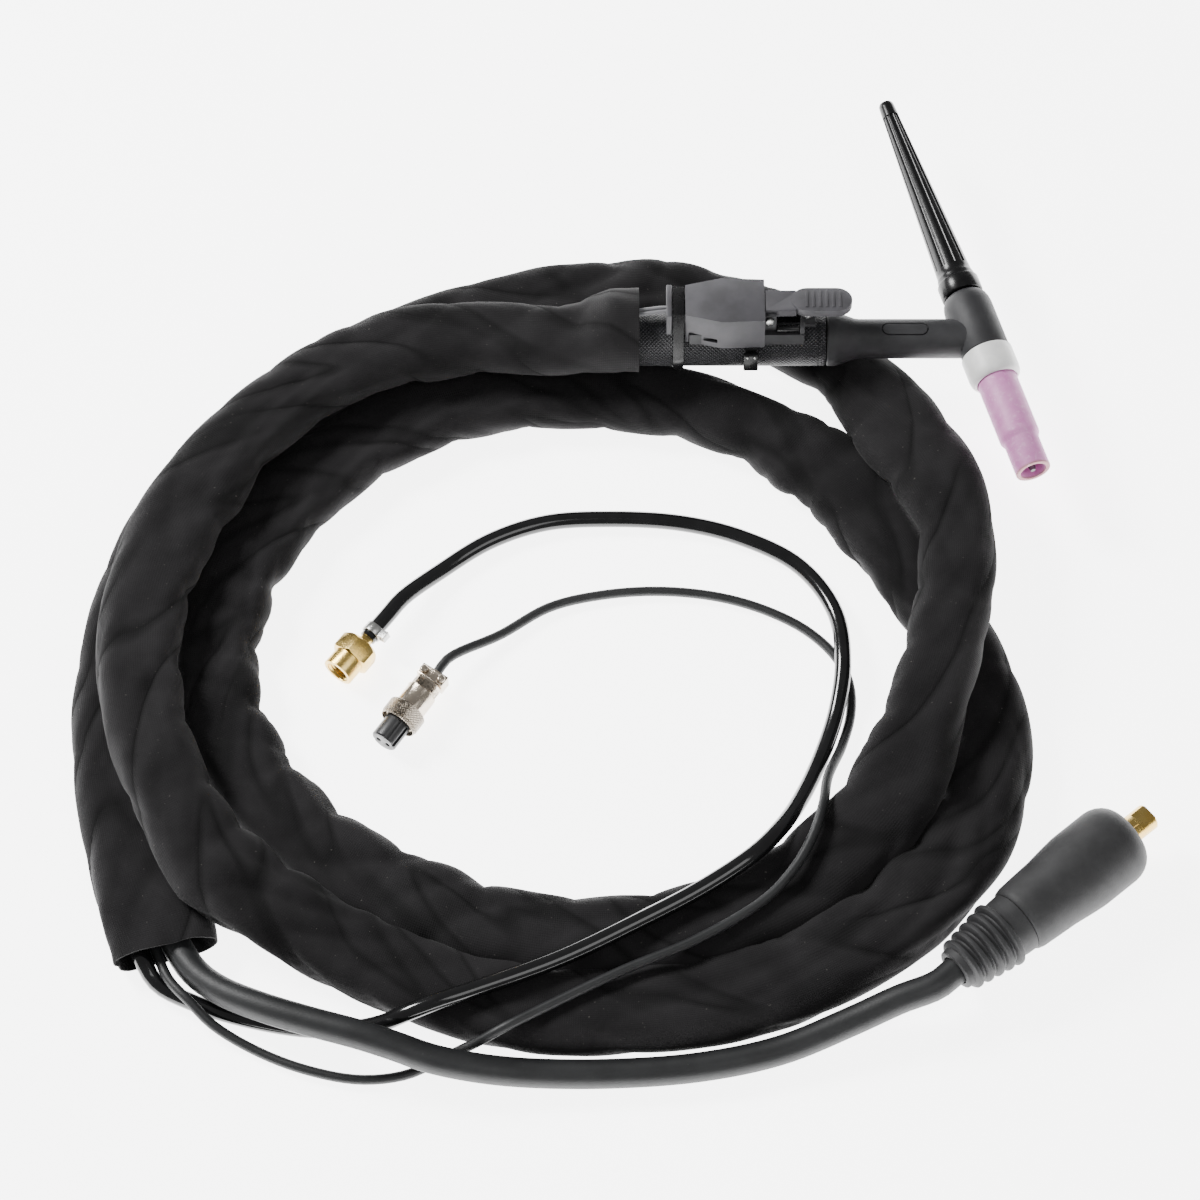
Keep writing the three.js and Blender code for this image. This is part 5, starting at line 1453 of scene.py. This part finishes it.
@dataclass
class Stage:
    """The pale floor, the lights and the camera."""

    lens: float = 135.0
    eye: tuple[float, float, float] = (0.0149, -0.9285, 1.7239)
    tilt: float = VIEW_TILT
    glow: float = 5.5

    def build(self) -> None:
        """Builds the stage."""
        bpy.ops.mesh.primitive_plane_add(size=12, location=(0, 0, -0.0005))
        floor = bpy.context.object
        floor.name = "floor"
        maker = MaterialMaker(Finish("white_paper", "#f7f7f7", "#ffffff", 0.9, mottle_mm=400))
        paper = maker.build()
        maker.shader.inputs["Emission Color"].default_value = (1, 1, 1, 1)
        maker.shader.inputs["Emission Strength"].default_value = self.glow
        floor.data.materials.append(paper)
        camera = bpy.data.cameras.new("camera")
        camera.lens = self.lens
        eye = bpy.data.objects.new("camera", camera)
        eye.location = self.eye
        eye.rotation_euler = (math.radians(self.tilt), 0, 0)
        bpy.context.scene.collection.objects.link(eye)
        bpy.context.scene.camera = eye
        self.light("key", (-1.3, 0.75, 1.3), 0.6, 60)
        self.light("fill", (0.9, -0.9, 1.9), 1.2, 12)
        world = bpy.data.worlds.new("surround")
        bpy.context.scene.world = world
        world.use_nodes = True
        background = world.node_tree.nodes["Background"]
        background.inputs["Color"].default_value = (1, 1, 1, 1)
        background.inputs["Strength"].default_value = 0.25

    def light(self, title: str, spot: tuple[float, float, float], size: float,
              power: float) -> None:
        """Adds a soft light aimed at the coil's middle.

        Args:
            title: Its name.
            spot: Where it is, in metres.
            size: The side of its square.
            power: Its power in watts.
        """
        lamp = bpy.data.lights.new(title, "AREA")
        lamp.size = size
        lamp.energy = power
        obj = bpy.data.objects.new(title, lamp)
        obj.location = spot
        obj.rotation_euler = (-Vector(spot)).to_track_quat("-Z", "Y").to_euler()
        bpy.context.scene.collection.objects.link(obj)


def dress_cad() -> None:
    """Gives every CAD node that stays in view its finish."""
    slots = {part["node"]: part["material_slot"] for part in frame["record"]["subparts"]}
    for node, obj in frame["nodes"].items():
        finish = getattr(Finishes, slots[node])
        obj.data.materials.clear()
        obj.data.materials.append(MaterialMaker.get(finish))


def main() -> None:
    """Builds the whole torch."""
    logging.basicConfig(level=logging.INFO, format="%(message)s")
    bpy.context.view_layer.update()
    low, high = (Vector(corner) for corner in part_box("handle_tube"))
    torch = Place(Vector((low.x, (low.y + high.y) / 2, (low.z + high.z) / 2)), Vector((1, 0, 0)))
    turn = joint("cap_turn")
    axis = Vector(turn["axis"])
    head = Place(Vector(turn["pos_m"]) - axis * 30 * MM, axis)
    face = mount("power_plug_face")
    plug = Place(Vector(face["pos_m"]) + Vector((0, 0, 9 * MM)), Vector(face["axis"]))
    nut, ring = joint("gas_nut_turn"), joint("coupling_ring_turn")
    gas = Place(Vector(nut["pos_m"]), Vector(nut["axis"]))
    control = Place(Vector(ring["pos_m"]), Vector(ring["axis"]))
    dress_cad()
    for part in (
        Head(head), Handle(torch), SwitchModule(), PowerPlug(plug), GasFitting(gas),
        ControlPlug(control), CableSet(torch, plug, gas, control), Stage(),
    ):
        LOG.info("building %s", type(part).__name__)
        part.build()


if __name__ == "__main__":
    main()
